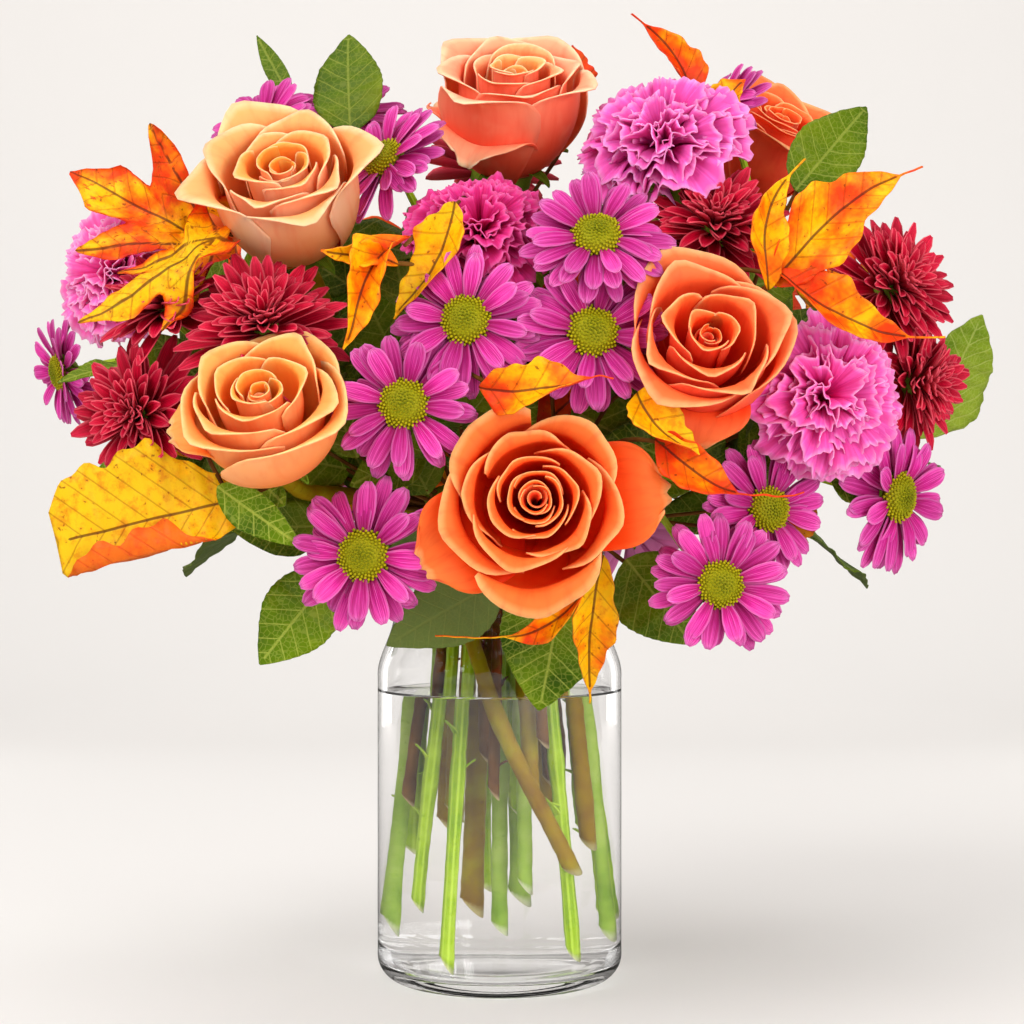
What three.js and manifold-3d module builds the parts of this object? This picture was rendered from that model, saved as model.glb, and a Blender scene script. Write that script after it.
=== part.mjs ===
// A mixed autumn bouquet standing in a wide-mouthed glass jar of water.
// Millimetres, +Z up, the bouquet's front towards -Y.
// Origin: the middle of the jar's base, on the surface that it stands on.
import * as THREE from 'three';
import { mergeVertices } from 'three/addons/utils/BufferGeometryUtils.js';
import Module from 'manifold-3d';

const wasm = await Module();
wasm.setup();

// ---- Driving dimensions ----
const JAR_RADIUS = 49; // outside of the body
const JAR_HEIGHT = 172; // base to rim
const JAR_WALL = 3.4;
const JAR_FLOOR = 6.5; // glass under the water
const HEEL_RADIUS = 10; // rounded edge between base and body
const FOOT_RING_WIDTH = 6; // flat ring that the jar stands on
const PUNT_DEPTH = 3; // hollow under the base
const NECK_INSET = 6.5; // the neck stands in this far from the body
const NECK_WALL = 4.2;
const NECK_HEIGHT = 26; // top of the shoulder to the rim
const SHOULDER_RISE = 24; // height of the shoulder's curve
const BEAD_DEPTH = 1.6; // ridge round the neck, under the screw finish
const BEAD_HEIGHT = 4;
const WATER_DEPTH = 109; // floor to water level
const GAP = 0.3; // clearance between pieces that touch

const ROSE_STEM_RADIUS = 3.1;
const CARNATION_STEM_RADIUS = 2.5;
const MUM_STEM_RADIUS = 2.6;
const WOODY_STEM_RADIUS = 2.4;
const SALAL_STEM_RADIUS = 2.2;
const PEDICEL_RADIUS = 1.5; // side stems of a spray
const PETIOLE_RADIUS = 1.1; // leaf stalks
const LEAF_THICKNESS = 1.2;
const FRONT_DEPTH = 20; // leaves in front of this depth face forwards
const SPREAD = 1; // how far the bouquet spreads over the jar, 1 as designed

const BUNCH_INSET = 13; // outer stems stand in this far from the mouth's edge
const INNER_RING_INSET = 12; // inner stems stand in this far from the outer ones
const FOOT_INSET = 11.5; // outer stems' feet stand in this far from the wall
const INNER_FOOT_FLARE = 5; // inner stems' feet stand out this far from their mouth ring
const FAN = 20; // degrees that the stems fan to either side below the mouth

const JAR_SEGMENTS = 32;
const BLOOM_SEGMENTS = 9;

// ---- Values that follow ----
const NECK_RADIUS = JAR_RADIUS - NECK_INSET;
const MOUTH_RADIUS = NECK_RADIUS - NECK_WALL;
const INNER_RADIUS = JAR_RADIUS - JAR_WALL;
const SHOULDER_TOP = JAR_HEIGHT - NECK_HEIGHT;
const SHOULDER_BOTTOM = SHOULDER_TOP - SHOULDER_RISE;
const MOUTH_LEVEL = JAR_HEIGHT - 7; // where the stems lean on each other
const RING_OUTER = MOUTH_RADIUS - BUNCH_INSET;
const RING_INNER = RING_OUTER - INNER_RING_INSET;
const FOOT_OUTER = INNER_RADIUS - FOOT_INSET;
const FOOT_INNER = RING_INNER + INNER_FOOT_FLARE;

// Circles of stems: radius at the jar's floor and at the mouth.
const RINGS = {
  outer: [FOOT_OUTER, RING_OUTER],
  inner: [FOOT_INNER, RING_INNER],
  centre: [4, 0],
  rim: [INNER_RADIUS - 6, MOUTH_RADIUS - 4],
};

// ---- The bouquet's plan ----
// Blooms: centre [x, y, height over the rim], turn from the front towards +X and tilt
// upwards in degrees, and radius. Stems: slot is the angle in the mouth, from the front
// towards +X, ring says which circle of stems, and foot is the cut end over the floor.
const ROSES = [
  { at: [-78, -85, 140], turn: -10, tilt: 55, radius: 33, ring: 'inner', slot: -75, foot: 62 },
  { at: [-80, -134, 51], turn: -10, tilt: 28, radius: 29, ring: 'front', slot: -36, foot: 42 },
  { at: [13, -138, 19], turn: 0, tilt: 5, radius: 31, ring: 'outer', slot: 18, foot: 70 },
  { at: [72, -128, 72], turn: 5, tilt: 25, radius: 30, ring: 'outer', slot: 58, foot: 50 },
  { at: [6, -45, 178], turn: 0, tilt: 65, radius: 33, ring: 'inner', slot: -160, foot: 22 },
  { at: [112, 10, 172], turn: 40, tilt: 50, radius: 28, ring: 'inner', slot: 130, foot: 58 },
  { at: [-60, 92, 120], turn: -155, tilt: 35, radius: 29, ring: 'inner', slot: -118, foot: 56 },
];
const CARNATIONS = [
  { at: [59, -80, 155], turn: -20, tilt: 40, radius: 29, ring: 'inner', slot: 40, foot: 34 },
  { at: [118, -108, 57], turn: 20, tilt: 5, radius: 28, ring: 'outer', slot: 79, foot: 12 },
  { at: [-149, -50, 107], turn: -45, tilt: 10, radius: 27, ring: 'outer', slot: -92, foot: 14 },
  { at: [-6, -105, 118], turn: 0, tilt: 40, radius: 25, ring: 'centre', slot: 0, foot: 16 },
  { at: [88, 100, 64], turn: 135, tilt: 20, radius: 28, ring: 'outer', slot: 168, foot: 24 },
];
const DAISY_SPRAYS = [
  {
    ring: 'outer', slot: -118, foot: 44, fork: [-42, 5, 68],
    blooms: [
      { at: [-182, 25, 73], turn: -60, tilt: -10, radius: 24 },
      { at: [-93, -20, 167], turn: -40, tilt: 60, radius: 25 },
      { at: [-59, -10, 174], turn: -20, tilt: 70, radius: 25 },
    ],
  },
  {
    ring: 'outer', slot: -25, foot: 5, fork: [-18, -50, 48],
    blooms: [
      { at: [-46, -128, 0], turn: -10, tilt: 0, radius: 28 },
      { at: [-32, -132, 52], turn: -5, tilt: 5, radius: 27 },
      { at: [-11, -128, 81], turn: -5, tilt: 10, radius: 27 },
      { at: [-42, -75, 145], turn: -45, tilt: 30, radius: 26 },
    ],
  },
  {
    ring: 'outer', slot: 38, foot: 8, fork: [34, -46, 30],
    blooms: [
      { at: [34.5, -122, 111], turn: 0, tilt: 30, radius: 27 },
      { at: [33, -126, 77], turn: 5, tilt: 10, radius: 28 },
      { at: [77, -124, -10], turn: 10, tilt: 0, radius: 26 },
      { at: [96, -103, 16], turn: 25, tilt: 0, radius: 25.5 },
    ],
  },
  {
    ring: 'outer', slot: 121, foot: 52, fork: [50, 14, 36],
    blooms: [
      { at: [147, -75, 20.5], turn: 45, tilt: -5, radius: 29 },
      { at: [85, -30, 170.5], turn: -60, tilt: 30, radius: 24 },
    ],
  },
];
// Sprays at the back of the bouquet, each one piece with its blooms.
const BACK_DAISY_SPRAY = {
  ring: 'inner', slot: 165, foot: 60, fork: [6, 46, 44],
  blooms: [
    { at: [-64, 118, 46], turn: -155, tilt: 15, radius: 27 },
    { at: [58, 112, 8], turn: 160, tilt: 0, radius: 27 },
    { at: [44, 108, 120], turn: 165, tilt: 35, radius: 26 },
    { at: [-10, 134, 10], turn: 180, tilt: 0, radius: 27 },
    { at: [62, 58, 160], turn: 140, tilt: 55, radius: 25 },
  ],
};
const BACK_BURGUNDY_SPRAY = {
  ring: 'outer', slot: -168, foot: 30, fork: [-8, 44, 66],
  blooms: [
    { at: [10, 126, 66], turn: 180, tilt: 15, radius: 28 },
    { at: [-114, 74, 84], turn: -125, tilt: 25, radius: 27 },
    { at: [132, 62, 66], turn: 120, tilt: 15, radius: 27 },
    { at: [-6, 70, 166], turn: 180, tilt: 55, radius: 27 },
  ],
};
const BURGUNDY_SPRAYS = [
  {
    ring: 'outer', slot: -46, foot: 26, fork: [-46, -46, 46],
    blooms: [
      { at: [-82, -110, 81], turn: 0, tilt: 35, radius: 28 },
      { at: [-121, -88, 92], turn: -30, tilt: 50, radius: 24 },
      { at: [-129, -95, 50], turn: -25, tilt: 5, radius: 27 },
    ],
  },
  {
    ring: 'outer', slot: 100, foot: 18, fork: [66, -30, 52],
    blooms: [
      { at: [78, -92, 118.5], turn: 0, tilt: 40, radius: 26 },
      { at: [147, -70, 99], turn: 35, tilt: 20, radius: 27 },
      { at: [157, -62, 64], turn: 50, tilt: -5, radius: 25 },
    ],
  },
];
// Leaves: the blade's base and tip, its width and its kind.
const AUTUMN_BRANCHES = [
  {
    ring: 'outer', slot: -66, foot: 66, fork: [-58, -24, 33],
    leaves: [
      { base: [-98, -84, 112], tip: [-163, -62, 146], width: 62, kind: 'lobed' },
      { base: [-100, -96, 110], tip: [-147, -98, 80], width: 24, kind: 'narrow' },
      { base: [-95, -106, 18], tip: [-166, -104, 0], width: 44, kind: 'lobed' },
      { base: [-100, 30, 100], tip: [-150, 66, 150], width: 50, kind: 'lobed' },
    ],
  },
  {
    ring: 'inner', slot: -20, foot: 84, fork: [-8, -36, 92],
    leaves: [
      { base: [-20, -124, 121], tip: [-54, -140, 70], width: 18, kind: 'narrow' },
      { base: [-24, -112, 122], tip: [-38, -122, 82], width: 20, kind: 'narrow' },
      { base: [-5, -136, 61], tip: [39, -146, 58], width: 16, kind: 'narrow' },
      { base: [32, -10, 180], tip: [29, -8, 201], width: 12, kind: 'narrow' },
      { base: [80, -66, 163], tip: [52, -38, 204], width: 18, kind: 'narrow' },
      { base: [-20, 112, 112], tip: [-30, 138, 158], width: 46, kind: 'lobed' },
    ],
  },
  {
    ring: 'inner', slot: 90, foot: 74, fork: [50, -2, 64],
    leaves: [
      { base: [103, -120, 78], tip: [148, -112, 135], width: 44, kind: 'lobed' },
      { base: [108, -123, 92], tip: [154, -116, 78], width: 14, kind: 'narrow' },
      { base: [110, 62, 100], tip: [150, 84, 142], width: 48, kind: 'lobed' },
      { base: [124, 22, 96], tip: [164, 34, 132], width: 40, kind: 'lobed' },
    ],
  },
  {
    ring: 'rim', slot: 22, foot: 92, fork: [24, -66, 22],
    leaves: [
      { base: [49, -130, 50], tip: [69, -141, 36], width: 14, kind: 'narrow' },
      { base: [59, -132, 34], tip: [103, -146, 21], width: 15, kind: 'narrow' },
      { base: [37, -108, -2], tip: [34, -88, -53], width: 15, kind: 'narrow' },
      { base: [17, -112, -12], tip: [-16, -110, -30], width: 10, kind: 'narrow' },
    ],
  },
];
const SALAL_BRANCHES = [
  {
    ring: 'outer', slot: -3, foot: 72, fork: [-10, -56, 16],
    leaves: [
      { base: [24, -78, -8], tip: [15, -66, -59], width: 38, kind: 'ovate' },
      { base: [0, -86, -10], tip: [-41, -78, -34], width: 27, kind: 'ovate' },
      { base: [46, -92, -2], tip: [70, -86, -33], width: 30, kind: 'ovate' },
      { base: [-60, -92, -8], tip: [-86, -92, -40], width: 27, kind: 'ovate' },
    ],
  },
  {
    ring: 'outer', slot: 143, foot: 78, fork: [62, 26, 34],
    leaves: [
      { base: [108, -85, 132], tip: [138, -60, 167], width: 24, kind: 'ovate' },
      { base: [166, -12, 44], tip: [188, -28, 92], width: 42, kind: 'ovate' },
      { base: [122, -80, 28], tip: [143, -78, 20], width: 14, kind: 'ovate' },
      { base: [128, 24, 44], tip: [186, 44, 34], width: 42, kind: 'ovate' },
      { base: [120, 44, 12], tip: [160, 74, -18], width: 38, kind: 'ovate' },
      { base: [100, 60, 128], tip: [122, 90, 170], width: 38, kind: 'ovate' },
      { base: [30, 122, 96], tip: [46, 150, 132], width: 40, kind: 'ovate' },
      { base: [96, 96, 20], tip: [122, 134, 0], width: 40, kind: 'ovate' },
    ],
  },
  {
    ring: 'outer', slot: -143, foot: 82, fork: [-48, 36, 40],
    leaves: [
      { base: [-58, -28, 163], tip: [-60, -10, 205], width: 27, kind: 'ovate' },
      { base: [-84, 0, 181], tip: [-100, 20, 211], width: 12, kind: 'narrow' },
      { base: [-150, 0, 74], tip: [-174, -18, 66], width: 12, kind: 'ovate' },
      { base: [-98, -116, 24], tip: [-68, -121, 3], width: 14, kind: 'ovate' },
      { base: [-120, 40, 34], tip: [-178, 62, 18], width: 42, kind: 'ovate' },
      { base: [-104, 70, 12], tip: [-142, 108, -14], width: 40, kind: 'ovate' },
      { base: [-66, 98, 116], tip: [-88, 130, 152], width: 40, kind: 'ovate' },
      { base: [-34, 114, 12], tip: [-44, 149, -20], width: 40, kind: 'ovate' },
      { base: [0, 120, 20], tip: [16, 151, -14], width: 38, kind: 'ovate' },
    ],
  },
];

// ---- Solids ----
function solid(geometry) {
  geometry.deleteAttribute('normal');
  geometry.deleteAttribute('uv');
  const merged = mergeVertices(geometry, 1e-3);
  const index = merged.index.array;
  const triVerts = [];
  for (let i = 0; i < index.length; i += 3) {
    const [a, b, c] = [index[i], index[i + 1], index[i + 2]];
    if (a !== b && b !== c && c !== a) triVerts.push(a, b, c);
  }
  const vertProperties = merged.attributes.position.array;
  const data = { numProp: 3, vertProperties, triVerts: new Uint32Array(triVerts) };
  return new wasm.Manifold(new wasm.Mesh(data));
}

function revolve(profile, segments) {
  const points = profile.map(([radius, z]) => new THREE.Vector2(radius, z));
  return new THREE.LatheGeometry(points, segments).rotateX(Math.PI / 2);
}

// A cut can leave crumbs beside the piece itself, and only the piece stays.
function largestBody(shape) {
  const bodies = shape.decompose();
  bodies.sort((a, b) => b.volume() - a.volume());
  return bodies[0];
}

function boxesMeet(a, b) {
  const one = a.boundingBox();
  const other = b.boundingBox();
  return [0, 1, 2].every((k) => one.min[k] < other.max[k] && other.min[k] < one.max[k]);
}

// ---- Small geometry helpers ----
function around(angle, radius, z) {
  const turn = THREE.MathUtils.degToRad(angle);
  return new THREE.Vector3(radius * Math.sin(turn), -radius * Math.cos(turn), z);
}

function facing({ turn, tilt }) {
  const rise = THREE.MathUtils.degToRad(tilt);
  return around(turn, Math.cos(rise), Math.sin(rise));
}

function spot([x, y, z]) {
  return new THREE.Vector3(x * SPREAD, y * SPREAD, JAR_HEIGHT + z * SPREAD);
}

function arc(radius, z, size, from, to, steps) {
  return Array.from({ length: steps + 1 }, (_, k) => {
    const angle = THREE.MathUtils.degToRad(from + ((to - from) * k) / steps);
    return [radius + size * Math.cos(angle), z + size * Math.sin(angle)];
  });
}

// A smooth step from one radius to another over a height, ends left out.
function shoulder(fromRadius, toRadius, fromZ, toZ, steps) {
  return Array.from({ length: steps - 1 }, (_, k) => {
    const t = (k + 1) / steps;
    const ease = t * t * (3 - 2 * t);
    return [fromRadius + (toRadius - fromRadius) * ease, fromZ + (toZ - fromZ) * t];
  });
}

// ---- Jar and water ----
function jar(grow) {
  const body = JAR_RADIUS + grow;
  const neck = NECK_RADIUS + grow;
  const mouth = MOUTH_RADIUS - grow;
  const inner = INNER_RADIUS - grow;
  const floor = JAR_FLOOR + grow;
  const rim = JAR_HEIGHT + grow;
  const ring = JAR_RADIUS - HEEL_RADIUS;
  const innerHeel = HEEL_RADIUS - JAR_WALL;
  const bead = SHOULDER_TOP + BEAD_HEIGHT;
  const outside = [
    [0, PUNT_DEPTH - grow],
    [ring - 2 * FOOT_RING_WIDTH, PUNT_DEPTH - grow],
    [ring - FOOT_RING_WIDTH, -grow],
    ...arc(ring, HEEL_RADIUS, HEEL_RADIUS + grow, -90, 0, 4),
    [body, SHOULDER_BOTTOM],
    ...shoulder(body, neck, SHOULDER_BOTTOM, SHOULDER_TOP, 4),
    [neck, SHOULDER_TOP],
    [neck + BEAD_DEPTH, SHOULDER_TOP + BEAD_HEIGHT / 2],
    [neck, bead],
    [neck, rim - 2],
    [neck - 1.4, rim],
  ];
  const inside = [
    [mouth + 1.2, rim],
    [mouth, rim - 2],
    [mouth, SHOULDER_TOP],
    ...shoulder(mouth, inner, SHOULDER_TOP, SHOULDER_BOTTOM, 3),
    [inner, SHOULDER_BOTTOM],
    ...arc(inner - innerHeel, floor + innerHeel, innerHeel, 0, -90, 3),
    [0, floor],
  ];
  return solid(revolve([...outside, ...inside], JAR_SEGMENTS));
}

function water() {
  const radius = INNER_RADIUS - GAP;
  const floor = JAR_FLOOR + GAP;
  const heel = HEEL_RADIUS - JAR_WALL;
  const level = JAR_FLOOR + WATER_DEPTH;
  const profile = [[0, floor], ...arc(radius - heel, floor + heel, heel, -90, 0, 3), [radius, level], [0, level]];
  return solid(revolve(profile, JAR_SEGMENTS));
}

// ---- Stems ----
function tube(points, radius, sides, steps, grow) {
  const first = points[0].clone().sub(points[1]).setLength(grow);
  const last = points.at(-1).clone().sub(points.at(-2)).setLength(grow);
  const route = points.map((point) => point.clone());
  route[0].add(first);
  route.at(-1).add(last);
  const curve = new THREE.CatmullRomCurve3(route, false, 'centripetal');
  const section = new THREE.Shape(
    Array.from({ length: sides }, (_, k) => {
      const angle = (2 * Math.PI * k) / sides;
      return new THREE.Vector2(Math.cos(angle), Math.sin(angle)).multiplyScalar(radius + grow);
    }),
  );
  return solid(new THREE.ExtrudeGeometry(section, { steps, extrudePath: curve, bevelEnabled: false }));
}

// Foot and mouth points of a stem. The stems fan out below the mouth, except the front
// one, which crosses the others from upper left to lower right.
function stand({ ring, slot, foot }) {
  const z = JAR_FLOOR + foot;
  if (ring === 'front') {
    const mouth = around(slot, MOUTH_RADIUS - ROSE_STEM_RADIUS - 1, MOUTH_LEVEL);
    const waist = around(0, INNER_RADIUS - ROSE_STEM_RADIUS - 4.5, (MOUTH_LEVEL + z) / 2);
    return [around(-slot + 5, INNER_RADIUS - ROSE_STEM_RADIUS - 2, z), waist, mouth];
  }
  const radii = RINGS[ring];
  const fan = ring === 'inner' ? -FAN : FAN;
  const turned = slot + fan * Math.sin(THREE.MathUtils.degToRad(slot));
  const drop = (MOUTH_LEVEL - z) / (MOUTH_LEVEL - JAR_FLOOR);
  const low = around(turned, radii[0], JAR_FLOOR);
  const mouth = around(slot, radii[1], MOUTH_LEVEL);
  return [mouth.clone().lerp(low, drop).setZ(z), mouth];
}

// Points from one place to another, leaving along one direction and arriving along another.
function sweep(from, leave, to, arrive, count) {
  const curve = new THREE.CubicBezierCurve3(from, from.clone().add(leave), to.clone().sub(arrive), to);
  return curve.getPoints(count).slice(1);
}

function rising(stood, length) {
  return stood.at(-1).clone().sub(stood.at(-2)).setLength(length);
}

function bloomStem(row, kind, grow) {
  const stood = stand(row);
  const direction = facing(row);
  const head = spot(row.at).addScaledVector(direction, -BLOOMS[kind].depth(row.radius) - GAP);
  const reach = stood.at(-1).distanceTo(head);
  const rise = rising(stood, Math.min(50, 0.45 * reach));
  const points = sweep(stood.at(-1), rise, head, direction.multiplyScalar(0.3 * reach), 5);
  return tube([...stood, ...points], BLOOMS[kind].stem, 6, 9, grow);
}

function forkedStem(row, ends, radius, endRadius, grow) {
  const stood = stand(row);
  const fork = spot(row.fork);
  const chord = fork.clone().sub(stood.at(-1));
  const rise = rising(stood, 0.4 * chord.length());
  const trunk = [...stood, ...sweep(stood.at(-1), rise, fork, chord.multiplyScalar(0.3), 2)];
  const tip = trunk.at(-1).clone().sub(trunk.at(-2)).normalize();
  let whole = tube(trunk, radius, 6, 6, grow);
  const root = fork.clone().addScaledVector(tip, -radius);
  for (const { at, along } of ends) {
    const reach = root.distanceTo(at);
    const leave = tip.clone().multiplyScalar(0.3 * reach);
    const points = sweep(root, leave, at, along.clone().multiplyScalar(0.25 * reach), 4);
    whole = whole.add(tube([root, ...points], endRadius, 4, 5, grow));
  }
  return whole;
}

function sprayStem(row, kind, clearance, grow) {
  const ends = row.blooms.map((flower) => {
    const along = facing(flower);
    const at = spot(flower.at).addScaledVector(along, -BLOOMS[kind].depth(flower.radius) - clearance);
    return { at, along };
  });
  return forkedStem(row, ends, MUM_STEM_RADIUS, PEDICEL_RADIUS, grow);
}

// ---- Blooms ----
// Profiles run from the stem's end to the front, for a bloom of radius r whose widest
// circle lies at z 0.
const BLOOMS = {
  rose: {
    stem: ROSE_STEM_RADIUS,
    depth: (r) => 1.15 * r,
    profile: (r) => [[0.3 * r, -1.1 * r], [0.85 * r, -0.6 * r], [r, 0], [0.75 * r, 0.35 * r]],
    front: (r) => 0.4 * r,
  },
  carnation: {
    stem: CARNATION_STEM_RADIUS,
    depth: (r) => 1.2 * r,
    profile: (r) => [[0.2 * r, -1.18 * r], [0.26 * r, -0.55 * r], [0.9 * r, -0.35 * r], [r, 0.05 * r], [0.6 * r, 0.45 * r]],
    front: (r) => 0.5 * r,
  },
  daisy: {
    stem: PEDICEL_RADIUS,
    depth: (r) => 0.34 * r,
    profile: (r) => [[0.22 * r, -0.32 * r], [0.45 * r, -0.16 * r], [r, -0.1 * r], [0.98 * r, 0.06 * r], [0.32 * r, 0.14 * r]],
    front: (r) => 0.2 * r,
  },
  burgundy_mum: {
    stem: PEDICEL_RADIUS,
    depth: (r) => 0.5 * r,
    profile: (r) => [[0.3 * r, -0.48 * r], [0.92 * r, -0.25 * r], [r, 0.05 * r], [0.65 * r, 0.36 * r]],
    front: (r) => 0.45 * r,
  },
};

function bloom(row, kind, grow) {
  const { depth, profile, front } = BLOOMS[kind];
  const back = -depth(row.radius) - grow;
  const side = profile(row.radius).map(([radius, z], k) => [radius + grow, k === 0 ? back : z]);
  const outline = [[0, back], ...side, [0, front(row.radius) + grow]];
  const axis = new THREE.Quaternion().setFromUnitVectors(new THREE.Vector3(0, 0, 1), facing(row));
  const geometry = revolve(outline, BLOOM_SEGMENTS).applyQuaternion(axis);
  const centre = spot(row.at);
  return solid(geometry.translate(centre.x, centre.y, centre.z));
}

function joinedSpray(row, kind, grow) {
  let whole = sprayStem(row, kind, -PEDICEL_RADIUS, grow);
  for (const flower of row.blooms) whole = whole.add(bloom(flower, kind, grow));
  return whole;
}

// ---- Leaves ----
// Right half of each outline, as shares of the width and of the length.
const OUTLINES = {
  ovate: [[0.34, 0.1], [0.5, 0.36], [0.36, 0.7]],
  narrow: [[0.4, 0.18], [0.5, 0.5], [0.25, 0.82]],
  lobed: [[0.12, 0.06], [0.5, 0.24], [0.18, 0.38], [0.46, 0.7], [0.12, 0.72]],
};

// The way that a leaf's upper side faces: out of the bouquet, and forwards at the front.
function outlook(base, tip) {
  const middle = base.clone().lerp(tip, 0.5);
  const outward = middle.clone().setZ(middle.z - JAR_HEIGHT).normalize();
  return middle.y < FRONT_DEPTH ? outward.add(new THREE.Vector3(0, -1, 0)) : outward;
}

function blade(leaf, grow) {
  const base = spot(leaf.base);
  const tip = spot(leaf.tip);
  const along = tip.clone().sub(base);
  const length = along.length();
  along.normalize();
  const across = along.clone().cross(outlook(base, tip)).normalize();
  const normal = across.clone().cross(along);
  const right = OUTLINES[leaf.kind].map(([x, y]) => [x * leaf.width + grow, y * length]);
  const left = right.map(([x, y]) => [-x, y]).reverse();
  const outline = [[0, -grow], ...right, [0, length + grow], ...left];
  const shape = new THREE.Shape(outline.map(([x, y]) => new THREE.Vector2(x, y)));
  const depth = LEAF_THICKNESS + 2 * grow;
  const geometry = new THREE.ExtrudeGeometry(shape, { depth, bevelEnabled: false });
  const frame = new THREE.Matrix4().makeBasis(across, along, normal).setPosition(base);
  return solid(geometry.translate(0, 0, -depth / 2).applyMatrix4(frame));
}

function branch(row, radius, grow) {
  const ends = row.leaves.map((leaf) => {
    const along = spot(leaf.tip).sub(spot(leaf.base)).normalize();
    return { at: spot(leaf.base).addScaledVector(along, 4), along };
  });
  let whole = forkedStem(row, ends, radius, PETIOLE_RADIUS, grow);
  for (const leaf of row.leaves) whole = whole.add(blade(leaf, grow));
  return whole;
}

// ---- Materials ----
function finish(color, roughness) {
  return new THREE.MeshStandardMaterial({ color, roughness, metalness: 0 });
}

const FINISHES = {
  jar: () => new THREE.MeshStandardMaterial({ color: '#e8f0ee', roughness: 0.05, transparent: true, opacity: 0.4 }),
  water: () => new THREE.MeshStandardMaterial({ color: '#dfeeee', roughness: 0.02, transparent: true, opacity: 0.4 }),
  rose_bloom: () => finish('#f58433', 0.55),
  carnation_bloom: () => finish('#e374c4', 0.65),
  daisy_bloom: () => finish('#a83a94', 0.6),
  burgundy_mum_bloom: () => finish('#7c1027', 0.55),
  rose_stem: () => finish('#6f6426', 0.5),
  carnation_stem: () => finish('#8fa878', 0.6),
  mum_stem: () => finish('#6f9a35', 0.55),
  autumn_branch: () => finish('#dd7a1c', 0.5),
  salal_branch: () => finish('#3f6b2c', 0.4),
};

// ---- Assembly ----
// Each piece has a maker that takes how far to grow it. Later pieces give way to earlier
// ones, with a gap.
const pieces = [];

function add(name, look, make) {
  pieces.push({ name, look, make });
}

add('jar', 'jar', jar);
ROSES.forEach((row, k) => add(`rose_stem_${k + 1}`, 'rose_stem', (grow) => bloomStem(row, 'rose', grow)));
CARNATIONS.forEach((row, k) => {
  add(`carnation_stem_${k + 1}`, 'carnation_stem', (grow) => bloomStem(row, 'carnation', grow));
});
DAISY_SPRAYS.forEach((row, k) => {
  add(`daisy_spray_${k + 1}`, 'mum_stem', (grow) => sprayStem(row, 'daisy', GAP, grow));
});
BURGUNDY_SPRAYS.forEach((row, k) => {
  add(`burgundy_mum_spray_${k + 1}`, 'mum_stem', (grow) => sprayStem(row, 'burgundy_mum', GAP, grow));
});
add('back_daisy_spray', 'daisy_bloom', (grow) => joinedSpray(BACK_DAISY_SPRAY, 'daisy', grow));
add('back_burgundy_spray', 'burgundy_mum_bloom', (grow) => {
  return joinedSpray(BACK_BURGUNDY_SPRAY, 'burgundy_mum', grow);
});
AUTUMN_BRANCHES.forEach((row, k) => {
  add(`autumn_branch_${k + 1}`, 'autumn_branch', (grow) => branch(row, WOODY_STEM_RADIUS, grow));
});
SALAL_BRANCHES.forEach((row, k) => {
  add(`salal_branch_${k + 1}`, 'salal_branch', (grow) => branch(row, SALAL_STEM_RADIUS, grow));
});

const heads = {
  rose: ROSES,
  daisy: DAISY_SPRAYS.flatMap((spray) => spray.blooms),
  carnation: CARNATIONS,
  burgundy_mum: BURGUNDY_SPRAYS.flatMap((spray) => spray.blooms),
};
for (const [kind, rows] of Object.entries(heads)) {
  rows.forEach((row, k) => {
    add(`${kind}_bloom_${k + 1}`, `${kind}_bloom`, (grow) => bloom(row, kind, grow));
  });
}
add('water', 'water', water);

function carved(piece, earlier) {
  let shape = piece.make(0);
  for (const other of earlier) {
    if (boxesMeet(shape, other.grown)) shape = shape.subtract(other.grown);
  }
  return largestBody(shape);
}

function meshOf(shape, piece) {
  const { vertProperties, triVerts } = shape.getMesh();
  const geometry = new THREE.BufferGeometry();
  geometry.setAttribute('position', new THREE.BufferAttribute(new Float32Array(vertProperties), 3));
  geometry.setIndex(new THREE.BufferAttribute(new Uint32Array(triVerts), 1));
  geometry.computeVertexNormals();
  const mesh = new THREE.Mesh(geometry, FINISHES[piece.look]());
  mesh.name = piece.name;
  return mesh;
}

const bouquet = new THREE.Group();
const done = [];
for (const piece of pieces) {
  bouquet.add(meshOf(carved(piece, done), piece));
  done.push({ grown: piece.make(GAP) });
}

export default bouquet;
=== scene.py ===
"""A mixed autumn bouquet in a glass jar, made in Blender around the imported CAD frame."""
import math

import bpy
import numpy as np
from mathutils import Matrix, Vector


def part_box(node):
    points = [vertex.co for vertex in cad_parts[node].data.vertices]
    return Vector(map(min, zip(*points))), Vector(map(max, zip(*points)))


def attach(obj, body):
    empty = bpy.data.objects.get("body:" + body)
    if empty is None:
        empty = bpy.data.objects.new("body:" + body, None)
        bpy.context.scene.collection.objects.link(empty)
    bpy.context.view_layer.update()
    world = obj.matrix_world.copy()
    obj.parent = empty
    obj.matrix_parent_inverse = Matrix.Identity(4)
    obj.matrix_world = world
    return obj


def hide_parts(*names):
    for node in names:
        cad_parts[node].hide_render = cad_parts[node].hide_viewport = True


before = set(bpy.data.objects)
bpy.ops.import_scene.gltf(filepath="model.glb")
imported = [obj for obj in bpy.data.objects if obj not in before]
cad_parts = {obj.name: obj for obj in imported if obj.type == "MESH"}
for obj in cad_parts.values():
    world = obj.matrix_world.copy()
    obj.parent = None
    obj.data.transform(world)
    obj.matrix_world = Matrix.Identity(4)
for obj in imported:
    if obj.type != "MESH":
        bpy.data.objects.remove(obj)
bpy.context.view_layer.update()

MM = 0.001
BODY = "root"
JAR_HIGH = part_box("jar")[1]
WATER_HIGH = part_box("water")[1]

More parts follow.
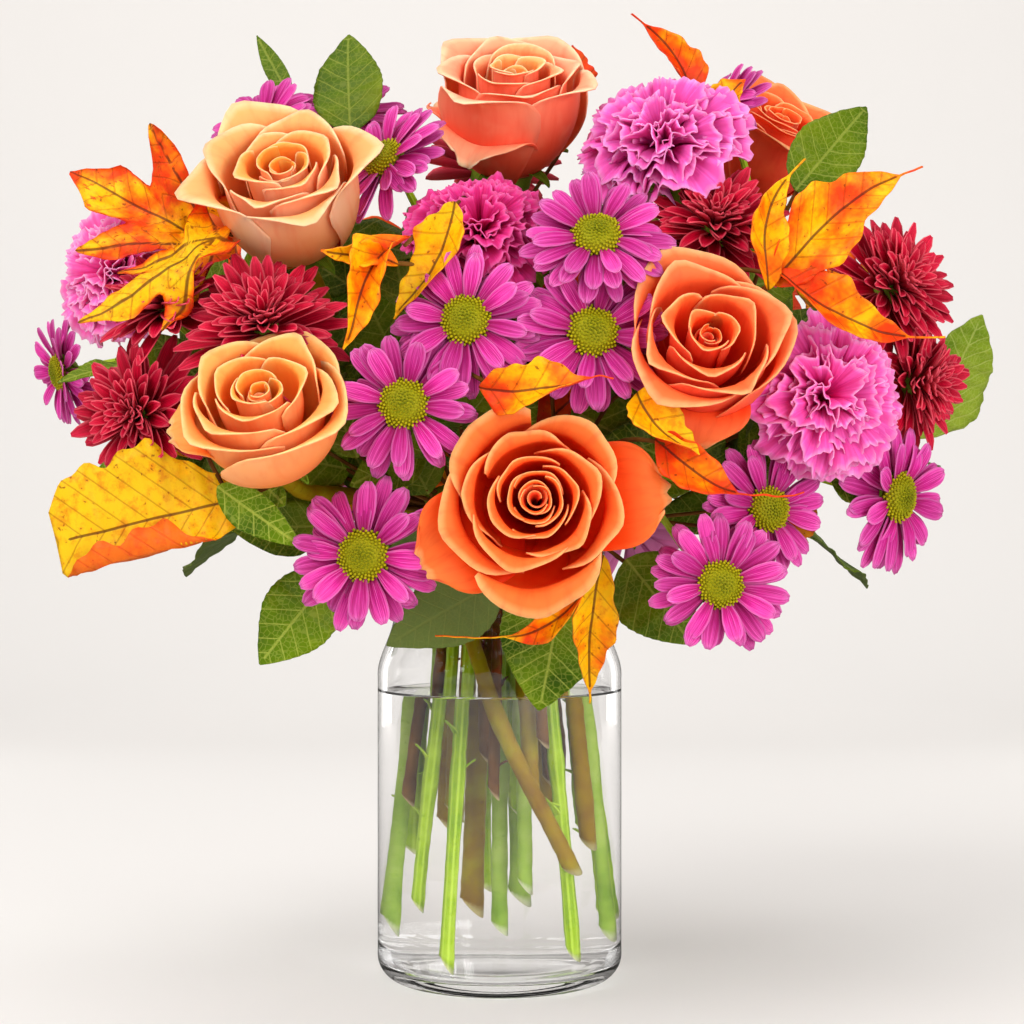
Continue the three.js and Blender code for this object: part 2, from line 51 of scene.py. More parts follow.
# ---- Sizes, in millimetres; the first three come from the frame ----
JAR_RADIUS = JAR_HIGH[0] / MM
JAR_HEIGHT = JAR_HIGH[2] / MM
WATER_LEVEL = WATER_HIGH[2] / MM
JAR_WALL = 3.4
JAR_FLOOR = 6.5
HEEL_RADIUS = 10
FOOT_RING_WIDTH = 6
PUNT_DEPTH = 3
NECK_INSET = 6.5
NECK_WALL = 4.2
NECK_HEIGHT = 26
SHOULDER_RISE = 24
NECK_RADIUS = JAR_RADIUS - NECK_INSET
MOUTH_RADIUS = NECK_RADIUS - NECK_WALL
INNER_RADIUS = JAR_RADIUS - JAR_WALL
SHOULDER_TOP = JAR_HEIGHT - NECK_HEIGHT
SHOULDER_BOTTOM = SHOULDER_TOP - SHOULDER_RISE
MOUTH_LEVEL = JAR_HEIGHT - 7
INNER_HEEL = HEEL_RADIUS - JAR_WALL
FLOOR_DOME = [(22, 0.4), (10, 0.9), (0, 1.0)]
THREAD_LOW = SHOULDER_TOP + 7
THREAD_HIGH = JAR_HEIGHT - 4
THREAD_PITCH = 6.0
THREAD_DEPTH = 1.5
BEAD_DEPTH = 1.6
BEAD_HEIGHT = 4
WATER_OVERLAP = 0.12
MENISCUS_WIDTH = 2.6
MENISCUS_RISE = 1.2

STEM_RADIUS = {"rose": 3.1, "carnation": 2.5, "mum": 2.6, "autumn": 2.2, "salal": 2.1}
PEDICEL_RADIUS = 1.4
PETIOLE_RADIUS = 0.8
STEM_SLIMMER = 0.97
STEM_RIDGES = 7
NODE_GAP = 24
LEAF_THICKNESS = 0.4
PETAL_THICKNESS = 0.5
BUNCH_MIDDLE = (0, 0, JAR_HEIGHT + 26)
BUNCH_HALF = (178, 136, 140)
GOLDEN_TURN = 2.39996
GOLDEN_SHARE = 0.618
FAN = 20
RING_OUTER = MOUTH_RADIUS - 13
RING_INNER = RING_OUTER - 12
RINGS = {
    "outer": (INNER_RADIUS - 11.5, RING_OUTER),
    "inner": (RING_INNER + 5, RING_INNER),
    "centre": (4, 0),
    "rim": (INNER_RADIUS - 6, MOUTH_RADIUS - 4),
}


# ---- Camera: lens and sensor in millimetres, place in metres ----
LENS = 77.3
SENSOR = 36
CAMERA_PLACE = (0.005, -0.885, 0.187)


def add_camera():
    data = bpy.data.cameras.new("camera")
    data.lens = LENS
    data.sensor_width = SENSOR
    camera = bpy.data.objects.new("camera", data)
    camera.location = CAMERA_PLACE
    camera.rotation_euler = (math.radians(90), 0, 0)
    bpy.context.collection.objects.link(camera)
    bpy.context.scene.camera = camera


add_camera()

# ---- The bouquet's plan ----
# Centre [x, y, height over the rim], turn from the front towards +X and tilt upwards in
# degrees, radius, and the stem's circle, slot angle and foot height, near the CAD part's.
# Roses also have a set of petal rings, how far it has opened, and petals that have opened
# flat: angle in degrees, and reach and droop in millimetres.
ROSES = [
    dict(at=(-76, -85, 131), turn=-10, tilt=42, radius=33, ring="inner", slot=-75, foot=62, tint="peach",
         rings="cup", open_petals=[(75, 39, 2)]),
    dict(at=(-80, -134, 51), turn=-6, tilt=40, radius=29, ring="front", slot=-36, foot=42, tint="apricot",
         rings="loose", opening=1.05, open_petals=[(96, 34, 4)]),
    dict(at=(13, -138, 19), turn=0, tilt=5, radius=31, ring="outer", slot=18, foot=70, tint="flame",
         rings="open", opening=0.98, open_petals=[(-86, 46, 2), (120, 45, 3)]),
    dict(at=(72, -128, 72), turn=5, tilt=25, radius=30, ring="outer", slot=58, foot=50, tint="coral",
         rings="loose", open_petals=[(170, 34, 8)]),
    dict(at=(6, -45, 171), turn=0, tilt=56, radius=33, ring="inner", slot=-160, foot=22, tint="salmon",
         rings="cup", open_petals=[(150, 36, 6), (60, 36, 3)]),
    dict(at=(110, 10, 166), turn=40, tilt=50, radius=28, ring="inner", slot=130, foot=58, tint="coral",
         rings="cup"),
    dict(at=(-60, 92, 120), turn=-155, tilt=35, radius=29, ring="inner", slot=-118, foot=56, tint="flame",
         rings="open"),
]
CARNATIONS = [
    dict(at=(59, -80, 155), turn=-20, tilt=40, radius=29, ring="inner", slot=40, foot=34, tint="orchid"),
    dict(at=(118, -108, 57), turn=20, tilt=5, radius=28, ring="outer", slot=79, foot=12, tint="pink"),
    dict(at=(-149, -50, 107), turn=-45, tilt=10, radius=27, ring="outer", slot=-92, foot=14, tint="hot"),
    dict(at=(-6, -105, 118), turn=0, tilt=40, radius=25, ring="centre", slot=0, foot=16, tint="magenta"),
    dict(at=(88, 100, 64), turn=135, tilt=20, radius=28, ring="outer", slot=168, foot=24, tint="pink"),
]
DAISY_SPRAYS = [
    dict(ring="outer", slot=-118, foot=44, fork=(-42, 5, 68), blooms=[
        dict(at=(-182, 25, 73), turn=-60, tilt=-10, radius=24),
        dict(at=(-93, -20, 167), turn=-30, tilt=36, radius=25),
        dict(at=(-59, -10, 174), turn=10, tilt=48, radius=25),
    ]),
    dict(ring="outer", slot=-25, foot=5, fork=(-18, -50, 48), blooms=[
        dict(at=(-46, -128, 0), turn=-10, tilt=0, radius=28),
        dict(at=(-32, -132, 52), turn=-5, tilt=5, radius=27),
        dict(at=(-11, -128, 81), turn=-5, tilt=10, radius=27),
        dict(at=(-42, -75, 145), turn=-45, tilt=30, radius=26),
    ]),
    dict(ring="outer", slot=38, foot=8, fork=(34, -46, 30), blooms=[
        dict(at=(34.5, -122, 111), turn=0, tilt=30, radius=27),
        dict(at=(33, -126, 77), turn=5, tilt=10, radius=28),
        dict(at=(77, -124, -10), turn=10, tilt=0, radius=26),
        dict(at=(96, -103, 16), turn=25, tilt=0, radius=25.5),
    ]),
    dict(ring="outer", slot=121, foot=52, fork=(50, 14, 36), blooms=[
        dict(at=(147, -75, 20.5), turn=45, tilt=-5, radius=29),
        dict(at=(85, -30, 170.5), turn=-60, tilt=30, radius=24),
    ]),
]
BACK_DAISY_SPRAY = dict(ring="inner", slot=165, foot=60, fork=(6, 46, 44), blooms=[
    dict(at=(-64, 118, 46), turn=-155, tilt=15, radius=27),
    dict(at=(58, 112, 8), turn=160, tilt=0, radius=27),
    dict(at=(44, 108, 120), turn=165, tilt=35, radius=26),
    dict(at=(-10, 134, 10), turn=180, tilt=0, radius=27),
    dict(at=(62, 58, 160), turn=140, tilt=55, radius=25),
])
BURGUNDY_SPRAYS = [
    dict(ring="outer", slot=-46, foot=26, fork=(-46, -46, 46), blooms=[
        dict(at=(-82, -110, 81), turn=0, tilt=35, radius=28),
        dict(at=(-121, -88, 92), turn=-30, tilt=50, radius=24),
        dict(at=(-129, -95, 50), turn=-25, tilt=5, radius=27),
    ]),
    dict(ring="outer", slot=100, foot=18, fork=(66, -30, 52), blooms=[
        dict(at=(78, -92, 118.5), turn=0, tilt=40, radius=26),
        dict(at=(147, -70, 99), turn=35, tilt=20, radius=27),
        dict(at=(157, -62, 64), turn=50, tilt=-5, radius=25),
    ]),
]
BACK_BURGUNDY_SPRAY = dict(ring="outer", slot=-168, foot=30, fork=(-8, 44, 66), blooms=[
    dict(at=(10, 126, 66), turn=180, tilt=15, radius=28),
    dict(at=(-114, 74, 84), turn=-125, tilt=25, radius=27),
    dict(at=(132, 62, 66), turn=120, tilt=15, radius=27),
    dict(at=(-6, 70, 166), turn=180, tilt=55, radius=27),
])
# Leaves: base, tip, width, kind where it isn't the branch's usual one (narrow on autumn and
# ovate on salal branches), and optionally how far the edges curl (mm), how far the
# blade arches (mm), its twist (degrees), and its hue, from yellow (0) to red (1) on an
# autumn leaf and from dark (0) to light (1) on a green one. On the green leaves that set it,
# hue 0 is painted shade on upper leaves in the key light and hue 1 is painted light on the
# front leaf in the bunch's shadow. A branch's filler is the middle
# angle, the spread and the count of the small inner leaves that hang from it.
AUTUMN_BRANCHES = [
    dict(ring="outer", slot=-66, foot=66, fork=(-58, -24, 33), leaves=[
        dict(base=(-96, -84, 108), tip=(-163, -66, 144), width=56, kind="lobed", curl=7, arch=6, hue=0.22),
        dict(base=(-96, -92, 118), tip=(-150, -102, 80), width=34, kind="lobed", curl=6, arch=10, bow=-6,
             twist=30, hue=0.16),
        dict(base=(-88, -106, 20), tip=(-156, -108, 4), width=52, kind="broad", curl=2, arch=6, vee=0.1,
             fold=-1, hue=0.06),
        dict(base=(-100, 30, 100), tip=(-150, 66, 150), width=50, kind="lobed", curl=5, arch=6, hue=0.4),
    ]),
    dict(ring="inner", slot=-20, foot=84, fork=(-8, -36, 92), leaves=[
        dict(base=(-30, -128, 110), tip=(-52, -142, 70), width=14, curl=6, arch=8, vee=0.7,
             twist=80, bow=5, hue=0.36),
        dict(base=(-34, -130, 100), tip=(-60, -138, 104), width=9, curl=3, arch=4, vee=0.5,
             twist=60, hue=0.3),
        dict(base=(-15, -114, 124), tip=(-36, -122, 82), width=15, curl=5, arch=4, vee=0.5,
             twist=-40, bow=-5, hue=0.06),
        dict(base=(-6, -136, 58), tip=(39, -148, 60), width=17, curl=4, arch=6, vee=0.5,
             twist=110, bow=4, tail=0.15, hue=0.42),
        dict(base=(32, -10, 180), tip=(29, -8, 201), width=12, curl=2, arch=3, hue=0.7),
        dict(base=(74, -60, 166), tip=(51, -38, 207), width=13, curl=4, arch=-8, vee=0.5,
             twist=60, bow=8, tail=0.08, hue=0.66),
        dict(base=(78, -64, 158), tip=(92, -66, 176), width=16, curl=4, arch=4, vee=0.5,
             twist=40, hue=0.5),
        dict(base=(-20, 112, 112), tip=(-30, 138, 158), width=46, kind="lobed", curl=5, arch=6, hue=0.3),
    ]),
    dict(ring="inner", slot=90, foot=74, fork=(50, -2, 64), filler=(110, 60, 12), leaves=[
        dict(base=(95, -121, 94), tip=(149, -114, 136), width=25, curl=5, arch=8, vee=0.5,
             twist=30, bow=-5, tail=0.12, hue=0.34),
        dict(base=(94, -123, 92), tip=(107, -120, 138), width=13, curl=4, arch=5, vee=0.5,
             twist=30, bow=-8, tail=0.15, hue=0.06),
        dict(base=(97, -124, 98), tip=(156, -118, 76), width=17, curl=4, arch=6, vee=0.5,
             twist=-40, bow=9, tail=0.2, hue=0.36),
        dict(base=(110, 62, 100), tip=(150, 84, 142), width=48, kind="lobed", curl=5, arch=6, hue=0.45),
        dict(base=(124, 22, 96), tip=(164, 34, 132), width=40, kind="lobed", curl=5, arch=6, hue=0.2),
    ]),
    dict(ring="rim", slot=22, foot=92, fork=(24, -66, 22), filler=(0, 75, 18), leaves=[
        dict(base=(48, -130, 56), tip=(68, -142, 34), width=17, curl=4, arch=3, vee=0.6,
             twist=60, bow=4, hue=0.1),
        dict(base=(54, -132, 40), tip=(103, -148, 22), width=17, curl=4, arch=-6, vee=0.6,
             twist=90, bow=7, tail=0.38, hue=0.66),
        dict(base=(37, -110, 0), tip=(33, -90, -54), width=15, curl=3, arch=7, vee=0.5,
             twist=25, bow=3, tail=0.08, hue=0.18),
        dict(base=(31, -116, -12), tip=(-22, -116, -28), width=10, curl=4, arch=-6, vee=0.6,
             twist=150, bow=-10, tail=0.4, hue=0.2),
    ]),
]
SALAL_BRANCHES = [
    dict(ring="outer", slot=-3, foot=72, fork=(-10, -56, 16), filler=(0, 85, 90), leaves=[
        # hue=1: painted light on this front leaf, which lies in the bunch's shadow.
        dict(base=(24, -78, -8), tip=(15, -66, -59), width=38, arch=4, hue=1),
        dict(base=(0, -86, -10), tip=(-41, -78, -34), width=27, arch=4, under=1),
        dict(base=(46, -92, -2), tip=(70, -86, -33), width=30, arch=4),
        dict(base=(-60, -92, -8), tip=(-86, -92, -40), width=27, arch=3),
    ]),
    dict(ring="outer", slot=143, foot=78, fork=(62, 26, 34), filler=(95, 75, 80), leaves=[
        # hue=0: painted shade on this leaf, high up in the key light.
        dict(base=(108, -85, 132), tip=(138, -60, 167), width=24, arch=3, hue=0),
        dict(base=(166, -12, 44), tip=(188, -28, 92), width=42, arch=3, light=1),
        dict(base=(122, -80, 28), tip=(143, -78, 20), width=14, arch=2),
        dict(base=(128, 24, 44), tip=(186, 44, 34), width=42, arch=4),
        dict(base=(120, 44, 12), tip=(160, 74, -18), width=38, arch=4),
        dict(base=(100, 60, 128), tip=(122, 90, 170), width=38, arch=4),
        dict(base=(30, 122, 96), tip=(46, 150, 132), width=40, arch=4),
        dict(base=(96, 96, 20), tip=(122, 134, 0), width=40, arch=4),
    ]),
    dict(ring="outer", slot=-143, foot=82, fork=(-48, 36, 40), filler=(-120, 85, 90), leaves=[
        # hue=0 on the next two: painted shade on these upper leaves in the key light.
        dict(base=(-58, -28, 163), tip=(-60, -10, 205), width=27, arch=3, hue=0),
        dict(base=(-84, 0, 181), tip=(-100, 20, 211), width=8, arch=3, hue=0),
        dict(base=(-150, 0, 74), tip=(-174, -18, 66), width=12, arch=2),
        dict(base=(-98, -116, 24), tip=(-68, -121, 3), width=14, arch=2),
        dict(base=(-120, 40, 34), tip=(-178, 62, 18), width=42, arch=4),
        dict(base=(-104, 70, 12), tip=(-142, 108, -14), width=40, arch=4),
        dict(base=(-66, 98, 116), tip=(-88, 130, 152), width=34, arch=4),
        dict(base=(-34, 114, 12), tip=(-44, 149, -20), width=40, arch=4),
        dict(base=(0, 120, 20), tip=(16, 151, -14), width=38, arch=4),
    ]),
]
STEM_LENGTH_BEHIND = {"rose": 1.15, "carnation": 1.2, "daisy": 0.34, "burgundy": 0.5}


# ---- Vectors ----
def around(angle, radius, z):
    turn = math.radians(angle)
    return Vector((radius * math.sin(turn), -radius * math.cos(turn), z))


def facing(row):
    rise = math.radians(row["tilt"])
    return around(row["turn"], math.cos(rise), math.sin(rise))


def spot(place):
    return Vector((place[0], place[1], JAR_HEIGHT + place[2]))


def bloom_frame(row, roll=0.0):
    """Local frame of a bloom: z out of its face, y up, in millimetres."""
    axis = facing(row)
    up = Vector((0, 0, 1)) if abs(axis.z) < 0.95 else Vector((0, 1, 0))
    right = up.cross(axis).normalized()
    top = axis.cross(right)
    basis = Matrix((right, top, axis)).transposed().to_4x4()
    return Matrix.Translation(spot(row["at"])) @ basis @ Matrix.Rotation(roll, 4, "Z")


# ---- Grids and turns ----
def shares(across, along, low=-1.0, start=0.0):
    """Grids of the share across a blade, up to 1, and of the share along it, up to 1."""
    return np.meshgrid(np.linspace(low, 1, across), np.linspace(start, 1, along), indexing="ij")


def any_turn(rng, size=None):
    return rng.uniform(0, 6.28, size)


def pack(along, across, number):
    """Detail channels: along 0 to 1, across 0 to 1, a number for the petal, back flag."""
    along, across = np.broadcast_arrays(along, across)
    return np.stack([along, across, np.full(along.shape, number), np.zeros(along.shape)], axis=-1)


def spin(grid, angle):
    c, s = math.cos(angle), math.sin(angle)
    x = grid[..., 0] * c - grid[..., 1] * s
    y = grid[..., 0] * s + grid[..., 1] * c
    return np.stack([x, y, grid[..., 2]], axis=-1)


def quads(a, b, c, d):
    return np.stack([a, b, c, d], axis=-1).reshape(-1, 4)


def unit(vectors):
    return vectors / np.maximum(np.linalg.norm(vectors, axis=-1, keepdims=True), 1e-9)


# ---- Mesh building ----
class Builder:
    """Collects closed pieces, with a colour attribute called detail, into one mesh."""

    def __init__(self):
        self.points = []
        self.details = []
        self.faces = []
        self.kinds = []
        self.count = 0

    def add(self, points, details, faces, kind=0):
        """Adds points and four-cornered faces; a face that repeats its last corner is a triangle."""
        self.points.append(points)
        self.details.append(details)
        self.faces.append(faces + self.count)
        self.kinds.append(np.full(len(faces), kind))
        self.count += len(points)

    def add_thick(self, points, normals, detail, thickness, top, under, edge, after, kind):
        """A blade's front and back and the rim between them; detail's last channel marks the back."""
        shift = len(points)
        back_detail = detail.copy()
        back_detail[:, 3] = 1
        half = normals * (thickness / 2)
        self.add(
            np.concatenate([points + half, points - half]),
            np.concatenate([detail, back_detail]),
            np.concatenate([top, under + shift, quads(after, edge, edge + shift, after + shift)]),
            kind,
        )

    def sheet(self, grid, detail, thickness=LEAF_THICKNESS, kind=0):
        """A closed thin blade round a grid of points."""
        nu, nv = grid.shape[:2]
        normal = unit(np.cross(np.gradient(grid, axis=0), np.gradient(grid, axis=1)))
        index = np.arange(nu * nv).reshape(nu, nv)
        top = quads(index[:-1, :-1], index[1:, :-1], index[1:, 1:], index[:-1, 1:])
        edge = np.concatenate([index[:, 0], index[-1, 1:], index[-2::-1, -1], index[0, -2:0:-1]])
        self.add_thick(grid.reshape(-1, 3), normal.reshape(-1, 3), detail.reshape(-1, 4), thickness,
                       top, top[:, ::-1], edge, np.roll(edge, -1), kind)

    def ring_sheet(self, grid, detail, thickness=LEAF_THICKNESS, kind=0):
        """A closed thin blade round rings of points that meet at a middle point."""
        rings = grid[:-1][::-1]
        detail = detail[::-1]
        nu, nv = rings.shape[:2]
        around_it = np.roll(rings, -1, axis=0) - np.roll(rings, 1, axis=0)
        normal = unit(np.cross(around_it, np.gradient(rings, axis=1)))
        points = np.concatenate([rings.reshape(-1, 3), [rings[:, 0].mean(axis=0)]])
        normals = np.concatenate([normal.reshape(-1, 3), [unit(normal[:, 0].mean(axis=0))]])
        details = np.concatenate([detail[1:].reshape(-1, 4), detail[:1, 0]])
        index = np.arange(nu * nv).reshape(nu, nv)
        beside = np.roll(index, -1, axis=0)
        hub = np.full(nu, nu * nv)
        walls = quads(index[:, :-1], beside[:, :-1], beside[:, 1:], index[:, 1:])
        fan = quads(beside[:, 0], index[:, 0], hub, hub)
        back_fan = quads(index[:, 0], beside[:, 0], hub, hub)
        top, under = np.concatenate([walls, fan]), np.concatenate([walls[:, ::-1], back_fan])
        self.add_thick(points, normals, details, thickness, top, under, index[:, -1], beside[:, -1], kind)

    def petal(self, grid, turn, number, thickness=LEAF_THICKNESS, kind=0, start=0.0):
        """A petal from its grid, turned about the bloom's axis."""
        u, v = shares(*grid.shape[:2], start=start)
        self.sheet(spin(grid, turn), pack(v, (u + 1) / 2, number), thickness, kind)

    def skin(self, rings, ends, number, kind):
        """A closed skin over rings of points, with a middle point at each end."""
        steps, sides = rings.shape[:2]
        index = np.arange(steps * sides).reshape(steps, sides)
        beside = np.roll(index, -1, axis=1)
        first, last = np.full(sides, steps * sides), np.full(sides, steps * sides + 1)
        faces = np.concatenate([
            quads(index[:-1], beside[:-1], beside[1:], index[1:]),
            quads(beside[0], index[0], first, first),
            quads(index[-1], beside[-1], last, last),
        ])
        along, across = shares(steps, sides + 1, 0)
        middle = pack(along[:, :-1], across[:, :-1], number).reshape(-1, 4)
        caps = [(0, 0, number, 0), (1, 0, number, 0)]
        self.add(np.concatenate([rings.reshape(-1, 3), ends]), np.concatenate([middle, caps]), faces, kind)

    def tube(self, route, radii, number, sides=10, kind=0, slant=0.0):
        """A closed tube along a route, its first end cut on a slant."""
        route = np.asarray(route, float)
        tangents = unit(np.gradient(route, axis=0))
        side = np.cross(tangents[0], (0.31, 0.83, 0.46))
        turn = np.linspace(0, 2 * np.pi, sides, endpoint=False)
        rings = []
        for place, along, radius in zip(route, tangents, radii):
            side = unit(side - along * side.dot(along))
            other = np.cross(along, side)
            rings.append(place + radius * (np.outer(np.cos(turn), side) + np.outer(np.sin(turn), other)))
        rings[0] += np.outer(np.cos(turn), tangents[0]) * radii[0] * slant
        rings = np.array(rings)
        self.skin(rings, rings[[0, -1]].mean(axis=1), number, kind)

    def lathe(self, profile, sides=24, kind=0, shape=None):
        """A turned solid whose profile starts and ends on the axis."""
        profile = np.asarray(profile, float)
        turn = np.linspace(0, 2 * np.pi, sides, endpoint=False)
        radius, level = (np.repeat(profile[1:-1, k:k + 1], sides, axis=1) for k in range(2))
        rings = np.stack([radius * np.cos(turn), radius * np.sin(turn), level], axis=-1)
        if shape is not None:
            rings = shape(rings, turn)
        self.skin(rings, [(0, 0, profile[0, 1]), (0, 0, profile[-1, 1])], 0.5, kind)

    def move(self, matrix, start=0):
        """Carries the pieces added from a given place in the list through a matrix."""
        turn = np.array(matrix.to_3x3())
        shift = np.array(matrix.translation)
        for k in range(start, len(self.points)):
            self.points[k] = self.points[k] @ turn.T + shift

    def make(self, name, materials, slot, *nodes):
        points = np.concatenate(self.points) * MM
        faces = np.concatenate(self.faces).tolist()
        faces = [f[:3] if f[2] == f[3] else f for f in faces]
        mesh = bpy.data.meshes.new(name)
        mesh.from_pydata(points.tolist(), [], faces)
        layer = mesh.attributes.new("detail", "FLOAT_COLOR", "POINT")
        layer.data.foreach_set("color", np.concatenate(self.details).astype(np.float32).ravel())
        for material in materials:
            mesh.materials.append(material)
        mesh.polygons.foreach_set("material_index", np.concatenate(self.kinds).astype(np.int32))
        mesh.polygons.foreach_set("use_smooth", np.ones(len(faces), dtype=bool))
        mesh.update()
        piece = bpy.data.objects.new(name, mesh)
        bpy.context.collection.objects.link(piece)
        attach(piece, BODY)
        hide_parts(*nodes)
        return piece


# ---- Materials ----
def colour(code):
    """A web colour as linear light."""
    parts = [int(code[k:k + 2], 16) / 255 for k in (1, 3, 5)]
    return tuple(p / 12.92 if p <= 0.04045 else ((p + 0.055) / 1.055) ** 2.4 for p in parts) + (1.0,)


class Nodes:
    """Short calls for the nodes of one tree."""

    def __init__(self, tree):
        self.tree = tree

    def node(self, kind, values=(), **settings):
        made = self.tree.nodes.new(kind)
        for key, value in settings.items():
            setattr(made, key, value)
        for k, value in enumerate(values):
            self.wire(value, made.inputs[k])
        return made

    def wire(self, value, socket):
        if isinstance(value, bpy.types.NodeSocket):
            self.tree.links.new(value, socket)
        else:
            socket.default_value = value

    def math(self, operation, *values):
        return self.node("ShaderNodeMath", values, operation=operation).outputs[0]

    def remap(self, value, low, high, to_low=0.0, to_high=1.0):
        values = (value, low, high, to_low, to_high)
        return self.node("ShaderNodeMapRange", values, interpolation_type="SMOOTHSTEP").outputs[0]

    def mix(self, factor, a, b, blend="MIX"):
        made = self.node("ShaderNodeMix", [factor], data_type="RGBA", blend_type=blend)
        self.wire(a, made.inputs[6])
        self.wire(b, made.inputs[7])
        return made.outputs[2]

    def ramp(self, factor, stops):
        made = self.node("ShaderNodeValToRGB", [factor])
        elements = made.color_ramp.elements
        while len(elements) < len(stops):
            elements.new(0.5)
        for element, (place, code) in zip(elements, stops):
            element.position = place
            element.color = colour(code)
        return made.outputs[0]

    def noise(self, vector, scale, detail=2.0, roughness=0.5):
        made = self.node("ShaderNodeTexNoise")
        for key, value in dict(Vector=vector, Scale=scale, Detail=detail, Roughness=roughness).items():
            self.wire(value, made.inputs[key])
        return made.outputs[0]

    def vector(self, x, y, z):
        return self.node("ShaderNodeCombineXYZ", (x, y, z)).outputs[0]

    def place(self):
        return self.node("ShaderNodeTexCoord").outputs["Object"]

    def detail(self):
        source = self.node("ShaderNodeAttribute", attribute_name="detail").outputs
        split = self.node("ShaderNodeSeparateColor", [source["Color"]]).outputs
        return split[0], split[1], split[2], source["Alpha"]


class Surface(Nodes):
    """A node material on one shader."""

    def __init__(self, name, roughness, **sockets):
        self.material = bpy.data.materials.new(name)
        self.material.use_nodes = True
        super().__init__(self.material.node_tree)
        self.shader = self.tree.nodes["Principled BSDF"]
        for key, value in dict(sockets, Roughness=roughness).items():
            self.shader.inputs[key.replace("_", " ")].default_value = value

    def bump(self, height, strength, distance):
        made = self.node("ShaderNodeBump")
        for key, value in dict(Strength=strength, Distance=distance, Height=height).items():
            self.wire(value, made.inputs[key])
        self.wire(made.outputs[0], self.shader.inputs["Normal"])

    def paint(self, value):
        self.wire(value, self.shader.inputs["Base Color"])
        return self.material


def petal_streaks(s, along, across, number, lengthwise, crosswise):
    """Fine lines that run along a petal, different on each one."""
    shifted = s.math("ADD", s.math("MULTIPLY", across, crosswise), s.math("MULTIPLY", number, 97.0))
    return s.noise(s.vector(shifted, s.math("MULTIPLY", along, lengthwise), number), 1.0, 3.0)


def shade_variation(s, base, number, low, high):
    value = s.remap(number, 0.0, 1.0, low, high)
    return s.mix(1.0, base, s.vector(value, value, value), "MULTIPLY")


def soft(scale, weight):
    return dict(Subsurface_Weight=weight, Subsurface_Scale=scale, Subsurface_Radius=(1.0, 0.45, 0.3))


def from_middle(s, share):
    return s.math("ABSOLUTE", s.math("SUBTRACT", share, 0.5))


def on_back(s, back_flag, factor, face, back):
    return s.mix(s.math("MULTIPLY", back_flag, factor), face, back)


# Inner and outer petals from foot to rim, and the backs of the petals. The inner petals keep deep red further
# up: partly their own colour, partly painted shade on the walls down in the cup.
ROSE_COLOURS = {
    "flame": (["#b00000", "#d81402", "#f53206", "#fd6e28", "#ffb070"],
              ["#cc1402", "#f42c04", "#fa4c14", "#fd7030", "#ffac6c"], ["#e22c0c", "#f64018", "#fc6438"]),
    "coral": (["#b40202", "#da1c08", "#f04014", "#fa7434", "#ffb478"],
              ["#cc1408", "#ea3414", "#f45024", "#fa703c", "#ffac74"], ["#de2410", "#f04024", "#fa6040"]),
    "apricot": (["#e03402", "#f4660c", "#fa8a2c", "#fda850", "#ffcc8c"],
                ["#f04a06", "#fb7a26", "#fc8e40", "#fea054", "#ffc484"], ["#fc5c1c", "#ff8242", "#ffa870"]),
    "peach": (["#ec4404", "#fa6c10", "#fd862a", "#fea048", "#ffc68a"],
              ["#fa5e24", "#fe8040", "#ff9250", "#ffa666", "#ffcc9c"], ["#ff6c2c", "#ff9258", "#ffb892"]),
    "salmon": (["#e84010", "#f86c28", "#fd944a", "#ffb470", "#ffdaa4"],
               ["#ec3420", "#f85a40", "#fc7c58", "#fea07a", "#ffcea4"], ["#f42c1c", "#fb5438", "#ff8868"]),
}
# Deep, middle and pale parts of a petal, and its edge.
CARNATION_COLOURS = {
    "orchid": ("#c01066", "#de3c9c", "#ee66bc", "#f8a0da"),
    "pink": ("#c40c62", "#f23ca4", "#fa68c0", "#ffa4dc"),
    "hot": ("#f01c86", "#fa58b4", "#fd7cc6", "#ffb8e2"),
    "magenta": ("#a40438", "#d01068", "#e2368a", "#f064a8"),
}


def rose_petals(tint):
    """Deep at the foot of each petal, and paler towards the rim; number is 0 at the heart, whose deeper reds
    are partly painted shade in the cup.
    """
    inner, outer, back = ROSE_COLOURS[tint]
    s = Surface("rose_petal_" + tint, 0.5, Specular_IOR_Level=0.1, **soft(0.004, 0.45))
    along, across, number, back_flag = s.detail()
    # Heart petals: deep red held further up, partly their own colour and partly painted shade on the cup's
    # inner walls.
    heart = s.ramp(along, list(zip((0.0, 0.42, 0.72, 0.93, 1.0), inner)))
    rest = s.ramp(along, list(zip((0.0, 0.3, 0.6, 0.92, 1.0), outer)))
    reverse = s.ramp(along, list(zip((0.0, 0.5, 1.0), back)))
    upper = s.mix(s.remap(number, 0.25, 0.75), heart, rest)
    streaks = petal_streaks(s, along, across, number, 3.0, 14.0)
    cloud = s.noise(s.place(), 70.0, 3.0)
    base = s.mix(back_flag, upper, reverse)
    veined = s.mix(s.remap(streaks, 0.45, 0.7, 0.0, 0.22), base, colour(outer[0]))
    blushed = s.mix(s.remap(cloud, 0.5, 0.75, 0.0, 0.25), veined, colour(outer[3]))
    s.bump(s.math("ADD", s.math("MULTIPLY", streaks, 0.5), cloud), 0.25, 0.0004)
    return s.paint(blushed)


